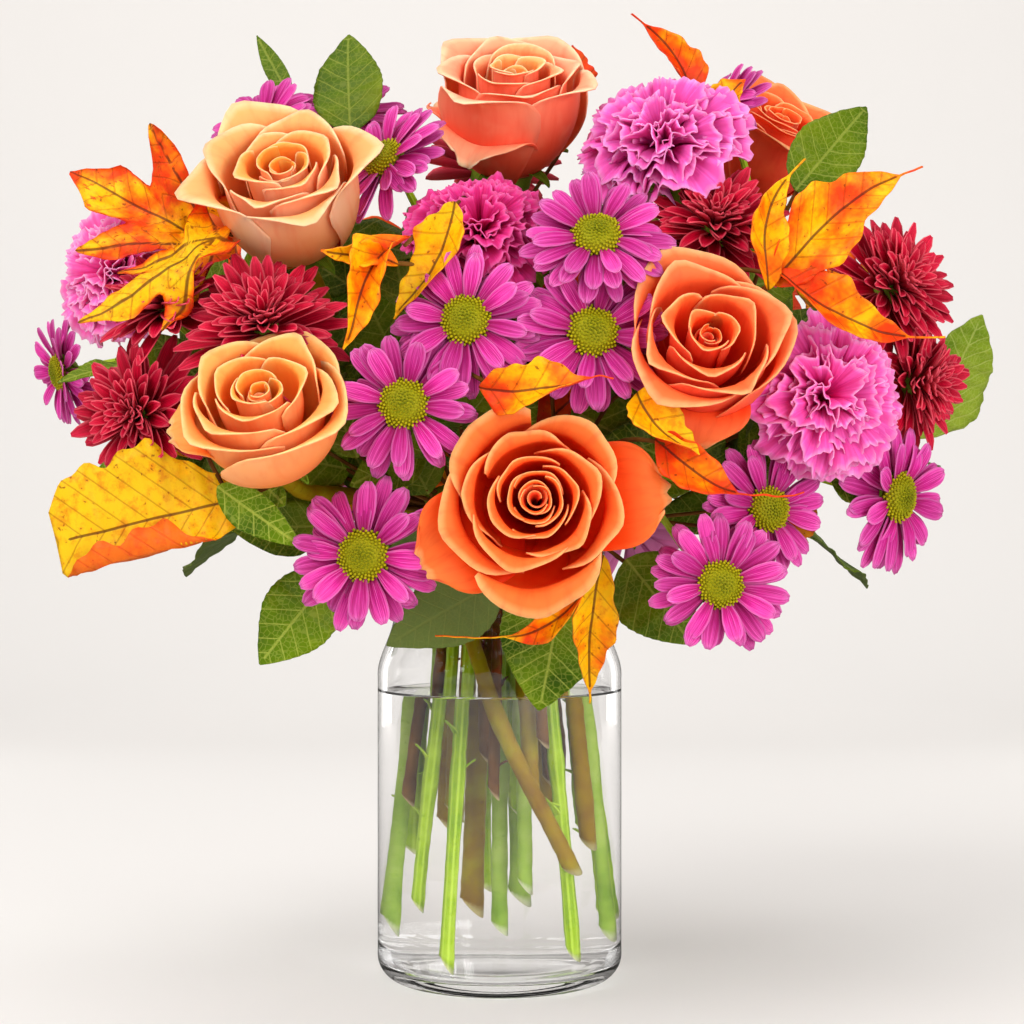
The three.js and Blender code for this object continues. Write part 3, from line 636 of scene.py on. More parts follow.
def daisy_petals():
    s = Surface("daisy_petal", 0.5, Specular_IOR_Level=0.1, **soft(0.0015, 0.12))
    along, across, number, back_flag = s.detail()
    stops = [(0.0, "#c8609a"), (0.1, "#960850"), (0.45, "#ca248a"), (0.85, "#de48a6"), (1.0, "#ea78c0")]
    streaks = petal_streaks(s, along, across, number, 1.2, 26.0)
    lined = s.mix(s.remap(streaks, 0.38, 0.6, 0.6, 0.0), s.ramp(along, stops), colour("#8a0448"))
    # Painted highlights: where the streaks run high, the ray is mixed towards pale pink, as light on its
    # ridges.
    lit = s.mix(s.remap(streaks, 0.55, 0.75, 0.0, 0.45), lined, colour("#ec88cc"))
    rimmed = s.mix(s.remap(from_middle(s, across), 0.36, 0.5, 0.0, 0.45), lit, colour("#e884c6"))
    turned = on_back(s, back_flag, 0.75, rimmed, colour("#e484bc"))
    s.bump(streaks, 0.4, 0.0005)
    return s.paint(shade_variation(s, turned, number, 0.8, 1.15))


def daisy_disc():
    s = Surface("daisy_disc", 0.6, Specular_IOR_Level=0.15, **soft(0.001, 0.04))
    along, _, number, _ = s.detail()
    tip = s.ramp(number, [(0.0, "#6e7400"), (0.35, "#8c8a02"), (0.75, "#b0a206"), (1.0, "#847e04")])
    s.bump(s.noise(s.place(), 900.0), 0.3, 0.0002)
    return s.paint(s.mix(s.remap(along, 0.1, 0.8), colour("#5a5000"), tip))


def burgundy_petals():
    s = Surface("burgundy_petal", 0.45, Specular_IOR_Level=0.09, **soft(0.001, 0.06))
    along, across, number, back_flag = s.detail()
    base = s.ramp(along, [(0.0, "#6c020c"), (0.3, "#ac0420"), (0.75, "#cc0c34"), (1.0, "#e02c4c")])
    streaks = petal_streaks(s, along, across, number, 1.5, 18.0)
    lined = s.mix(s.remap(streaks, 0.42, 0.62, 0.45, 0.0), base, colour("#6e020e"))
    rimmed = s.mix(s.remap(from_middle(s, across), 0.38, 0.5, 0.0, 0.55), lined, colour("#e2606c"))
    reverse = s.ramp(along, [(0.0, "#8c1022"), (0.6, "#c43044"), (1.0, "#dc5a68")])
    s.bump(streaks, 0.45, 0.0005)
    return s.paint(shade_variation(s, on_back(s, back_flag, 0.8, rimmed, reverse), number, 0.78, 1.15))


def carnation_petals(tint):
    deep = CARNATION_COLOURS[tint][0]
    s = Surface("carnation_petal_" + tint, 0.6, Specular_IOR_Level=0.08, **soft(0.002, 0.2))
    along, across, number, _ = s.detail()
    base = s.ramp(along, list(zip((0.0, 0.55, 0.93, 1.0), CARNATION_COLOURS[tint])))
    streaks = petal_streaks(s, along, across, number, 1.5, 30.0)
    lined = s.mix(s.remap(streaks, 0.42, 0.65, 0.35, 0.0), base, colour(deep))
    s.bump(streaks, 0.4, 0.0005)
    return s.paint(shade_variation(s, lined, number, 0.88, 1.1))


def stem_surface(name, low, mid, high, cut, ridges=0.0, roughness=0.45):
    """A stem, its colour clouded along it, with fine ridges and a pale cut end."""
    s = Surface(name, roughness, Specular_IOR_Level=0.1, IOR=1.3, **soft(0.001, 0.06))
    along, across, _, _ = s.detail()
    place = s.place()
    base = s.ramp(s.noise(place, 45.0, 4.0, 0.6), [(0.3, low), (0.5, mid), (0.72, high)])
    groove = s.math("SINE", s.math("MULTIPLY", across, 2 * math.pi * STEM_RIDGES))
    speck = s.noise(place, 420.0, 2.0)
    ridged = s.mix(s.math("MULTIPLY", s.remap(groove, -0.2, 1.0), ridges), base, colour(high))
    dotted = s.mix(s.remap(speck, 0.62, 0.74, 0.0, 0.5), ridged, colour(low))
    s.bump(s.math("ADD", s.math("MULTIPLY", groove, ridges), s.math("MULTIPLY", speck, 0.4)), 0.35, 0.0006)
    return s.paint(s.mix(s.remap(along, 0.0, 0.008, 0.85, 0.0), dotted, colour(cut)))


def leaf_veins(s, away, along, spacing, slope):
    """The side veins, which leave the midrib on a slant, and the midrib: 1 on one, 0 off it."""
    bowed = s.math("SUBTRACT", along, s.math("MULTIPLY", away, slope))
    phase = s.math("FRACT", s.math("DIVIDE", bowed, spacing))
    return s.remap(from_middle(s, phase), 0.02, 0.07, 1.0, 0.0), s.remap(away, 0.25, 0.7, 1.0, 0.0)


def salal_leaf(name, deep, mid, light, vein, under):
    """Leather-smooth green blade; detail holds mm from the midrib and mm along it."""
    s = Surface(name, 0.4, Specular_IOR_Level=0.13, **soft(0.001, 0.05))
    away, along, number, back_flag = s.detail()
    place = s.place()
    base = s.ramp(s.noise(place, 38.0, 3.0), [(0.3, deep), (0.5, mid), (0.75, light)])
    veins = s.math("MAXIMUM", *leaf_veins(s, away, along, 6.5, 0.75))
    net = s.node("ShaderNodeTexVoronoi", feature="DISTANCE_TO_EDGE")
    s.wire(place, net.inputs["Vector"])
    s.wire(480.0, net.inputs["Scale"])
    mesh = s.remap(net.outputs["Distance"], 0.02, 0.12, 1.0, 0.0)
    netted = s.mix(s.math("MULTIPLY", mesh, 0.2), base, colour(vein))
    veined = s.mix(s.math("MULTIPLY", veins, 0.4), netted, colour(vein))
    s.bump(s.math("SUBTRACT", s.math("MULTIPLY", mesh, -0.25), s.math("MULTIPLY", veins, 0.8)), 0.4, 0.0006)
    # number shades each leaf at random, or gives the painted shade and light set in the rows.
    return s.paint(shade_variation(s, on_back(s, back_flag, 0.8, veined, colour(under)), number, 0.7, 1.18))


def autumn_leaf():
    """Dry blade from yellow through orange to red, with brown veins and specks."""
    s = Surface("autumn_leaf", 0.45, Specular_IOR_Level=0.13, **soft(0.001, 0.06))
    away, along, number, back_flag = s.detail()
    place = s.place()
    cloud = s.math("SUBTRACT", s.noise(place, 42.0, 4.0, 0.6), 0.5)
    hue = s.math("ADD", s.math("MULTIPLY", cloud, 2.2), number)
    stops = [(0.0, "#e2b410"), (0.25, "#f8b404"), (0.45, "#f27c06"), (0.62, "#e44008"), (1.0, "#b8160a")]
    fine = s.noise(place, 260.0, 3.0, 0.7)
    speck = s.noise(place, 520.0, 2.0, 0.5)
    side, midrib = leaf_veins(s, away, along, 8.0, 0.9)
    mottled = s.mix(s.remap(fine, 0.42, 0.72, 0.0, 0.55), s.ramp(hue, stops), colour("#c8560c"))
    dotted = s.mix(s.remap(speck, 0.66, 0.74, 0.0, 0.7), mottled, colour("#6a2a08"))
    sided = s.mix(s.math("MULTIPLY", side, 0.38), dotted, colour("#7a3208"))
    ribbed = s.mix(s.math("MULTIPLY", midrib, 0.8), sided, colour("#4a1c0c"))
    veins = s.math("MAXIMUM", side, midrib)
    s.bump(s.math("SUBTRACT", fine, s.math("MULTIPLY", veins, 0.7)), 0.45, 0.0007)
    return s.paint(on_back(s, back_flag, 0.78, ribbed, colour("#dc3c18")))


def clear_body(name, ior, shine):
    """Glass or water that lets lamps through, so what stands in it is lit."""
    white = colour("#ffffff")
    s = Surface(name, 0.0, Base_Color=white, IOR=ior, Transmission_Weight=1.0, Specular_IOR_Level=shine)
    shadow = s.node("ShaderNodeLightPath").outputs["Is Shadow Ray"]
    clear = s.node("ShaderNodeBsdfTransparent", [white]).outputs[0]
    blend = s.node("ShaderNodeMixShader", (shadow, s.shader.outputs[0], clear)).outputs[0]
    s.wire(blend, s.tree.nodes["Material Output"].inputs["Surface"])
    return s.material


ROSE_TINTS = {tint: rose_petals(tint) for tint in ("flame", "coral", "apricot", "peach", "salmon")}
CARNATION_TINTS = {tint: carnation_petals(tint) for tint in ("orchid", "pink", "hot", "magenta")}
DAISY_PETAL = daisy_petals()
DAISY_DISC = daisy_disc()
BURGUNDY_PETAL = burgundy_petals()
ROSE_STEM = stem_surface("rose_stem", "#6e4604", "#8e7206", "#a4a01c", "#d8cc92")
CARNATION_STEM = stem_surface("carnation_stem", "#6c9020", "#92b040", "#b4c868", "#ecf0c8", 0.0, 0.55)
MUM_STEM = stem_surface("mum_stem", "#669002", "#92b414", "#bad64a", "#f0f2bc", 0.6)
WOODY_STEM = stem_surface("woody_stem", "#3c1e08", "#5e3814", "#7c5626", "#cbb588")
CALYX = stem_surface("calyx", "#4a6410", "#66801c", "#8a9c38", "#a8b860", 0.3)
SALAL = salal_leaf("salal_leaf", "#325000", "#587402", "#82940a", "#b4bc50", "#6c7c40")
SALAL_LIGHT = salal_leaf("salal_leaf_light", "#54760c", "#7a921c", "#98aa34", "#bcc668", "#96a470")
AUTUMN = autumn_leaf()
LEAF_SURFACES = {"autumn": [AUTUMN], "salal": [SALAL, SALAL_LIGHT]}


# ---- Stems ----
def stand(row):
    """Foot, middle and mouth points of a stem, as in the CAD part."""
    z = JAR_FLOOR + row["foot"]
    ring, slot = row["ring"], row["slot"]
    if ring == "front":
        reach = STEM_RADIUS["rose"]
        mouth = around(slot, MOUTH_RADIUS - reach - 1, MOUTH_LEVEL)
        waist = around(0, INNER_RADIUS - reach - 4.5, (MOUTH_LEVEL + z) / 2)
        return [around(-slot + 5, INNER_RADIUS - reach - 2, z), waist, mouth]
    low_radius, mouth_radius = RINGS[ring]
    fan = -FAN if ring == "inner" else FAN
    turned = slot + fan * math.sin(math.radians(slot))
    drop = (MOUTH_LEVEL - z) / (MOUTH_LEVEL - JAR_FLOOR)
    mouth = around(slot, mouth_radius, MOUTH_LEVEL)
    foot = mouth.lerp(around(turned, low_radius, JAR_FLOOR), drop)
    foot.z = z
    return [foot, mouth]


def sweep(start, leave, end, arrive, count):
    """Points after the start of a curve that leaves and arrives along given vectors."""
    corners = (start, start + leave, end - arrive, end)
    places = []
    for k in range(1, count + 1):
        t = k / count
        weights = ((1 - t) ** 3, 3 * (1 - t) ** 2 * t, 3 * (1 - t) * t * t, t ** 3)
        places.append(sum((corner * weight for corner, weight in zip(corners, weights)), Vector()))
    return places


def between(a, b, low, high, t):
    return (high - t) / (high - low) * a + (t - low) / (high - low) * b


def smooth_route(points, count):
    """Evenly spaced points on a smooth curve through the given ones."""
    data = np.array([tuple(p) for p in points])
    padded = np.vstack([2 * data[0] - data[1], data, 2 * data[-1] - data[-2]])
    fine = []
    for k in range(1, len(padded) - 2):
        p = padded[k - 1:k + 3]
        gaps = [max(np.linalg.norm(step), 1e-6) ** 0.5 for step in np.diff(p, axis=0)]
        knots = np.concatenate([[0], np.cumsum(gaps)])
        for t in np.linspace(knots[1], knots[2], 24, endpoint=False):
            near = [between(p[j], p[j + 1], knots[j], knots[j + 1], t) for j in range(3)]
            wide = [between(near[j], near[j + 1], knots[j], knots[j + 2], t) for j in range(2)]
            fine.append(between(*wide, knots[1], knots[2], t))
    fine = np.array(fine + [data[-1]])
    length = np.concatenate([[0], np.cumsum(np.linalg.norm(np.diff(fine, axis=0), axis=1))])
    even = np.linspace(0, length[-1], count)
    return np.stack([np.interp(even, length, fine[:, k]) for k in range(3)], axis=1)


def noded(count, radius, rng, every, swell):
    """Radii along a stem, thicker at its nodes."""
    first = rng.uniform(0.2, 0.8) * every
    bump = np.exp(-(((np.arange(count) - first) % every) - every / 2) ** 2 / (0.02 * every * every))
    return radius * STEM_SLIMMER * (1 + swell * bump + 0.03 * rng.standard_normal(count))


def cut_tube(maker, route, radii, rng, sides, kind=0):
    """A stem whose foot is cut on a slant."""
    number = rng.random()
    maker.tube(route, radii, number, sides, kind, rng.uniform(0.9, 1.6))


def single_stem(name, row, kind, material, slot, seed):
    rng = np.random.default_rng(seed)
    stood = stand(row)
    axis = facing(row)
    radius = STEM_RADIUS[kind]
    head = spot(row["at"]) - axis * (STEM_LENGTH_BEHIND[kind] * row["radius"] - 1.5)
    reach = (head - stood[-1]).length
    rise = (stood[-1] - stood[-2]).normalized() * min(50, 0.45 * reach)
    route = smooth_route(stood + sweep(stood[-1], rise, head, axis * 0.3 * reach, 5), 90)
    maker = Builder()
    carnation = kind == "carnation"
    radii = noded(90, radius, rng, NODE_GAP, 0.3 if carnation else 0.12)
    radii[-12:] = np.minimum(radii[-12:], radius * 0.95)
    cut_tube(maker, route, radii, rng, 16)
    if carnation:
        add_node_leaves(maker, route, rng, radius)
    maker.make(name + "_made", [material], slot, name)


def add_node_leaves(maker, route, rng, radius):
    """Slim leaf stubs at a stem's nodes, above the water."""
    for k in range(NODE_GAP, len(route) - NODE_GAP // 2, NODE_GAP):
        if route[k][2] < JAR_HEIGHT + 10:
            continue
        turn = rng.uniform(0, 360)
        base = Vector(route[k])
        out = around(turn, 1, 0) + (Vector(route[k + 2]) - base).normalized() * 1.4
        tip = base + out.normalized() * rng.uniform(16, 26)
        add_leaf(maker, dict(width=3.6, kind="narrow", arch=3), base - out * radius * 0.3, tip, rng, 0)


def add_stub(maker, route, k, radius, rng, kind):
    """The torn foot of a leaf, left on a stem where its blade was stripped."""
    tangent = unit(route[k + 1] - route[k])
    side = unit(np.cross(tangent, rng.standard_normal(3)))
    across = np.cross(tangent, side)
    u, v = (share[..., None] for share in shares(5, 7))
    size = rng.uniform(5, 9)
    out = radius * 0.8 + size * v * 0.7 * (0.5 + 0.5 * v)
    half = 1.6 * (1 - 0.7 * v) * (1 + 0.2 * np.sin(7 * v))
    grid = route[k] + side * out + tangent * size * v * rng.uniform(0.3, 0.9)
    grid = grid + across * u * half + tangent * 0.5 * u ** 2
    detail = pack(0.3 + 0.4 * v[..., 0], 0.5 + 0.1 * u[..., 0], rng.random())
    maker.sheet(grid, detail, PETAL_THICKNESS, kind)


def forked(maker, row, ends, radius, end_radius, rng, kind=0):
    """A stem that forks over the rim into one stalk for each end."""
    stood = stand(row)
    fork = spot(row["fork"])
    chord = fork - stood[-1]
    rise = (stood[-1] - stood[-2]).normalized() * 0.4 * chord.length
    trunk = stood + sweep(stood[-1], rise, fork, chord * 0.3, 2)
    route = smooth_route(trunk, 64)
    cut_tube(maker, route, noded(64, radius, rng, 20, 0.16), rng, 14, kind)
    for k in rng.choice(np.arange(5, 34), 3, replace=False):
        add_stub(maker, route, k, radius, rng, kind)
    tip = (trunk[-1] - trunk[-2]).normalized()
    root = fork - tip * radius
    for at, along in ends:
        reach = (at - root).length
        stalk = smooth_route([root] + sweep(root, tip * 0.3 * reach, at, along * 0.25 * reach, 4), 36)
        radii = np.linspace(radius * 0.75, end_radius, 36)
        radii[4:] = end_radius * (1 + 0.05 * rng.standard_normal(32))
        maker.tube(stalk, radii, rng.random(), 10, kind)


def bloom_ends(row, kind):
    """Where each stalk of a spray ends behind its bloom, and the way it points."""
    ends = []
    for flower in row["blooms"]:
        axis = facing(flower)
        ends.append((spot(flower["at"]) - axis * (STEM_LENGTH_BEHIND[kind] * flower["radius"] - 2.5), axis))
    return ends


# ---- Leaves ----
# Half of a lobed leaf's outline and the midribs of its lobes, in shares of width and length.
LOBED_HALF = [
    (0.03, 0.0), (0.10, 0.07), (0.30, 0.06), (0.46, 0.02), (0.40, 0.13), (0.30, 0.20), (0.16, 0.27),
    (0.30, 0.36), (0.42, 0.46), (0.50, 0.66), (0.36, 0.60), (0.24, 0.55), (0.13, 0.52), (0.17, 0.64),
    (0.20, 0.74), (0.11, 0.82), (0.05, 0.92), (0.0, 1.0),
]
LOBE_AXES = [((0, 0.12), (0, 1.0)), ((0, 0.12), (0.5, 0.66)), ((0, 0.10), (0.46, 0.02))]
LOBED_CENTRE = (0.0, 0.3)


def strip_half_width(leaf, v):
    v = np.clip(v / (1 - leaf.get("tail", 0.0)), 1e-4, 1)
    if leaf["kind"] == "ovate":
        return 0.5 * np.sin(np.pi * v ** 0.8) ** 0.8 * (1 - 0.25 * v) * 1.18
    if leaf["kind"] == "broad":
        return 0.5 * np.sin(np.pi * np.clip(v * 0.9, 1e-4, 1) ** 1.1) ** 0.7
    return 0.5 * np.sin(np.pi * v ** 0.75) ** 0.9


def strip_leaf(leaf, length, rng):
    """Flat grid of a long leaf: x across, y along, with a toothed edge on ovate ones."""
    u, v = shares(*leaf.get("grid", (13, 40)))
    half = np.maximum(strip_half_width(leaf, v) * leaf["width"], 0.35)
    if leaf["kind"] == "ovate":
        teeth = 1 + 0.035 * ((v * 26) % 1.0)
    else:
        teeth = 1 + 0.10 * np.sin(v * 15 + rng.uniform(0, 6)) + 0.06 * np.sin(v * 37 + rng.uniform(0, 6))
    x = u * half * np.where(np.abs(u) > 0.95, teeth, 1.0)
    ribless = v > 0.97 - leaf.get("tail", 0.03)
    return x, v * length, np.where(ribless, np.maximum(np.abs(x), 1.2), np.abs(x)), v * length


def lobed_leaf(leaf, length):
    """Rings from the middle of a lobed leaf out to its edge."""
    right = np.array(LOBED_HALF)
    outline = np.vstack([right, right[::-1][1:] * (-1, 1), right[:1]])
    place = np.concatenate([[0], np.cumsum(np.linalg.norm(np.diff(outline, axis=0), axis=1))])
    even = np.linspace(0, place[-1], 121)[:-1]
    edge = np.stack([np.interp(even, place, outline[:, k]) for k in range(2)], axis=1)
    edge = (edge + 0.5 * (np.roll(edge, 1, axis=0) + np.roll(edge, -1, axis=0))) / 2
    centre = np.array(LOBED_CENTRE)
    flat = centre + np.linspace(0.02, 1, 12)[None, :, None] * (edge[:, None, :] - centre)
    flat = np.concatenate([flat, flat[:1]], axis=0)
    distance = np.full(flat.shape[:2], 9.0)
    reach = np.zeros(flat.shape[:2])
    one_side = np.abs(flat)
    for start, end in np.array(LOBE_AXES):
        run = end - start
        size = np.linalg.norm(run)
        t = np.clip(((one_side - start) @ run) / size ** 2, 0, 1)
        gap = np.linalg.norm(one_side - (start + t[..., None] * run), axis=-1)
        nearer = gap < distance
        distance = np.where(nearer, gap, distance)
        reach = np.where(nearer, t * size, reach)
    return flat[..., 0] * leaf["width"], flat[..., 1] * length, distance * leaf["width"], reach * length


def leaf_basis(base, tip):
    """Vectors across a leaf, along it, and out of its face, which looks away from the bunch."""
    along = (tip - base).normalized()
    middle = (base + tip) / 2
    outward = Vector((middle.x, middle.y, middle.z - JAR_HEIGHT)).normalized()
    if middle.y < 20:
        outward = outward + Vector((0, -1, 0))
    across = along.cross(outward).normalized()
    return np.array(across), np.array(along), np.array(across.cross(along))


def folded(x, z, side, half):
    """Rolls one edge of a blade up and over towards its face."""
    line = 0.42 * half
    furthest = 2.9
    roll = 0.07 * half + 0.4
    over = np.maximum(side * x - line, 0)
    bend = np.minimum(over / roll, furthest)
    past = over - bend * roll
    new_x = side * (np.minimum(side * x, line) + roll * np.sin(bend) + past * np.cos(furthest))
    return new_x, z + roll * (1 - np.cos(bend)) + past * np.sin(furthest) * 0.3


def crumple(x, y, rng):
    """Small dents of a dry blade, in millimetres."""
    dent = np.zeros(x.shape)
    for _ in range(9):
        wave = rng.uniform(8, 26)
        turn = rng.uniform(0, math.pi)
        run = x * math.cos(turn) + y * math.sin(turn)
        dent = dent + 0.035 * wave * np.sin(run * 2 * math.pi / wave + any_turn(rng))
    return dent


def add_leaf(maker, leaf, base, tip, rng, kind):
    """One leaf from its base to its tip, curled, arched, twisted and bowed."""
    length = (tip - base).length
    lobed = leaf["kind"] == "lobed"
    x, y, away, along_mm = lobed_leaf(leaf, length) if lobed else strip_leaf(leaf, length, rng)
    share = y / length
    half = leaf["width"] / 2
    out = np.abs(x) / half
    curl = leaf.get("curl", 1.2)
    wave = any_turn(rng, 4)
    ripple = 0.035 * half * np.sin(share * 11 + wave[0] + 2 * np.sign(x)) * out ** 2
    bulge = -0.02 * half * np.cos(along_mm * 2 * np.pi / 6.5) * (away > 1)
    cup = curl * out ** 2 * (0.6 + 0.4 * np.sin(share * 4 + wave[1]))
    z = cup - leaf.get("arch", 3) * (4 * (share - 0.5) ** 2 - 1) * 0.5 + 3.0 * ripple + bulge
    if lobed:
        z = z + curl * 1.1 * np.sin(share * 6 + wave[2]) * out ** 1.5
        z = z + curl * 0.8 * np.sin(x / half * 4.2 + wave[3]) * share
        z = z + crumple(x, y, rng)
    if leaf["kind"] in ("narrow", "broad"):
        z = z + leaf.get("vee", 0.3) * np.abs(x) + 0.35 * crumple(x, y, rng)
    if leaf.get("fold"):
        x, z = folded(x, z, leaf["fold"], half)
    twist = math.radians(leaf.get("twist", 8)) * (share - 0.35)
    x, z = x * np.cos(twist) - z * np.sin(twist), x * np.sin(twist) + z * np.cos(twist)
    x = x + leaf.get("bow", 0) * np.sin(np.pi * share)
    across, along, normal = leaf_basis(base, tip)
    face = -1 if leaf.get("under") else 1
    grid = np.array(base) + face * x[..., None] * across + y[..., None] * along + face * z[..., None] * normal
    # On a green leaf this number is its shade: random, or painted shade (0) and painted light (1) where the
    # row sets it.
    number = leaf.get("hue", rng.random())
    if lobed:
        number = number + 0.4 * np.clip(np.linspace(-0.6, 1, x.shape[1]), 0, 1)[None, :] ** 2
    detail = np.stack([away, along_mm, number + 0 * x, np.zeros(x.shape)], axis=-1)
    add_blade = maker.ring_sheet if lobed else maker.sheet
    add_blade(grid, detail, LEAF_THICKNESS, kind)


def branch_piece(name, row, look, seed):
    """A forked twig with its leaves and any inner leaves."""
    rng = np.random.default_rng(seed)
    maker = Builder()
    places = [(spot(leaf["base"]), spot(leaf["tip"])) for leaf in row["leaves"]]
    ends = [(base + (tip - base).normalized() * 4, (tip - base).normalized()) for base, tip in places]
    forked(maker, row, ends, STEM_RADIUS[look], PETIOLE_RADIUS, rng)
    usual = dict(kind="narrow" if look == "autumn" else "ovate")
    for leaf, (base, tip) in zip(row["leaves"], places):
        add_leaf(maker, usual | leaf, base, tip, rng, 2 if leaf.get("light") else 1)
    if "filler" in row:
        add_filler(maker, row, rng, look == "autumn")
    maker.make(name + "_made", [WOODY_STEM] + LEAF_SURFACES[look], look + "_leaves", name)


BLOOMS = {
    "rose": ROSES,
    "carnation": CARNATIONS,
    "daisy": [row for spray in DAISY_SPRAYS + [BACK_DAISY_SPRAY] for row in spray["blooms"]],
    "burgundy": [row for spray in BURGUNDY_SPRAYS + [BACK_BURGUNDY_SPRAY] for row in spray["blooms"]],
}
BLOOM_SHAPES = [
    (spot(row["at"]), facing(row), row["radius"], STEM_LENGTH_BEHIND[kind] * row["radius"])
    for kind, rows in BLOOMS.items() for row in rows
]


def clear_of_blooms(point):
    for centre, axis, radius, depth in BLOOM_SHAPES:
        local = point - centre
        along = local.dot(axis)
        away = (local - axis * along).length
        reach = radius * (1.02 if along > -0.45 * radius else 0.6)
        if -depth < along < 2.5 * radius and away < reach:
            return False
    return True


def add_filler(maker, row, rng, autumn):
    """Inner leaves that stand between and behind the blooms, each on its own stalk."""
    angle, spread, count = row["filler"]
    fork = spot(row["fork"])
    made = 0
    for k in range(count * 12):
        if made == count:
            break
        turn = angle + spread * (2 * ((k * GOLDEN_SHARE) % 1.0) - 1) + rng.uniform(-6, 6)
        rise = math.radians(rng.uniform(-16, 66))
        shell = rng.uniform(0.5, 0.84) if abs(turn) < 90 else rng.uniform(0.55, 0.92)
        direction = around(turn, math.cos(rise), math.sin(rise))
        middle = Vector([c + d * half * shell for c, d, half in zip(BUNCH_MIDDLE, direction, BUNCH_HALF)])
        aim = Vector((rng.uniform(-1, 1), rng.uniform(-0.6, 0.6), rng.uniform(-0.6, 1.0)))
        along = (direction * 0.5 + aim).normalized()
        size = rng.uniform(26, 38) if autumn else rng.uniform(30, 44)
        base, tip = middle - along * size / 2, middle + along * size / 2
        if min(base.z, tip.z) < JAR_HEIGHT + 8 or not all(clear_of_blooms(p) for p in (base, middle, tip)):
            continue
        leaf = dict(width=size * rng.uniform(0.5, 0.64), kind="ovate", arch=rng.uniform(-5, 5), grid=(9, 16))
        if autumn:
            leaf.update(kind="narrow", vee=0.5, twist=60, curl=4, hue=rng.uniform(0.2, 0.7))
        add_leaf(maker, leaf, base, tip, rng, 1)
        route = smooth_route([fork, fork.lerp(base, 0.5) + Vector((0, 0, -4)), base + along * 2], 12)
        maker.tube(route, np.full(12, PETIOLE_RADIUS), rng.random(), 6, 0)
        made += 1


# ---- Roses ----
# Each ring of petals: count, belly radius, rim height, half width in degrees, roll of the
# rim in degrees, size of the roll, and how pointed the rim is; lengths are shares of the
# bloom's radius.
ROSE_RINGS = {
    "open": [
        (3, 0.15, 0.20, 96, 40, 0.028, 0.00),
        (4, 0.25, 0.23, 74, 65, 0.038, 0.03),
        (4, 0.39, 0.24, 64, 80, 0.050, 0.08),
        (5, 0.58, 0.18, 56, 105, 0.075, 0.10),
        (5, 0.79, 0.03, 52, 125, 0.105, 0.07),
    ],
    "cup": [
        (3, 0.12, 0.34, 96, 40, 0.028, 0.04),
        (4, 0.24, 0.41, 76, 70, 0.040, 0.12),
        (4, 0.40, 0.41, 72, 85, 0.065, 0.18),
        (4, 0.58, 0.37, 68, 105, 0.100, 0.24),
        (4, 0.74, 0.27, 66, 120, 0.150, 0.24),
    ],
    "loose": [
        (3, 0.11, 0.26, 100, 40, 0.022, 0.02),
        (3, 0.24, 0.34, 90, 60, 0.045, 0.14),
        (3, 0.44, 0.34, 84, 75, 0.070, 0.22),
        (4, 0.65, 0.28, 72, 90, 0.095, 0.24),
        (3, 0.80, 0.14, 84, 100, 0.110, 0.20),
    ],
}
# Turned parts behind the blooms: radius and level, in shares of the bloom's radius.
ROSE_HIP = [(0, -1.15), (0.09, -1.15), (0.18, -1.05), (0.2, -0.95), (0.25, -0.85), (0.16, -0.78), (0, -0.76)]
DAISY_CUP = [(0, -0.34), (0.06, -0.34), (0.13, -0.27), (0.27, -0.15), (0.33, -0.04), (0, -0.03)]
BURGUNDY_CUP = [(0, -0.48), (0.07, -0.48), (0.2, -0.36), (0.26, -0.2), (0.14, 0.02), (0, 0.08)]
CARNATION_CALYX = [(0, -1.2), (0.1, -1.2), (0.19, -1.12), (0.23, -0.8), (0.27, -0.55), (0.3, -0.46),
                   (0.2, -0.4), (0, -0.4)]


def scaled(profile, size):
    return np.array(profile) * size


def rose_petal(belly, depth, height, half_angle, roll, lip, point, rng):
    """One petal of a rose as a grid: a cup that rises and rolls outwards at its rim."""
    u, v = shares(21, 24)
    middle = rng.uniform(-0.2, 0.2)
    side = np.abs(u - middle)
    t = v * (1 - 0.18 * side ** 3 - point * side)
    knee = 0.74
    rise = np.clip(t / knee, 0, 1)
    over = np.clip((t - knee) / (1 - knee), 0, 1)
    bend = over * roll * (1 + 0.4 * side ** 2)
    pinch = np.exp(-((u - middle) / 0.2) ** 2) * over * point * 4 * lip
    wobble = any_turn(rng, 3)
    waves = 0.07 * np.sin(u * 2.7 + wobble[0]) + 0.035 * np.sin(u * 7.5 + wobble[1])
    frill = t ** 3 * waves * (0.4 * belly + 3)
    r = belly * (0.12 + 0.88 * np.sin(np.minimum(1, rise * 1.15) * np.pi / 2) ** 0.75)
    r = r + lip * (1 - np.cos(bend)) + 0.5 * lip * over + pinch + frill
    z = -depth + (depth + height) * rise ** 1.25 + lip * np.sin(bend) + 0.8 * frill
    angle = u * half_angle * (0.6 + 0.4 * np.clip(t * 1.7, 0, 1)) + rng.uniform(-0.15, 0.15) * t
    return np.stack([r * np.sin(angle), r * np.cos(angle), z], axis=-1)


def add_rose_heart(maker, size, depth, rise, rng):
    """The rolled middle petal, as one strip that winds outwards."""
    s, v = shares(72, 14, 0)
    angle = 2 * np.pi * 1.9 * s
    r = size * (0.022 + 0.125 * s) * (0.75 + 0.25 * v) + 0.035 * size * v ** 5
    lobes = 0.05 * np.sin(angle * 0.9 + rng.uniform(0, 6))
    top = (0.20 + rise) * size * (0.88 + 0.12 * s + lobes) - 0.12 * size * s ** 8
    z = -depth * 0.5 + (depth * 0.5 + top) * v
    grid = np.stack([r * np.cos(angle), r * np.sin(angle), z], axis=-1)
    maker.sheet(grid, pack(0.35 + 0.65 * v, s, 0.02), 0.45)


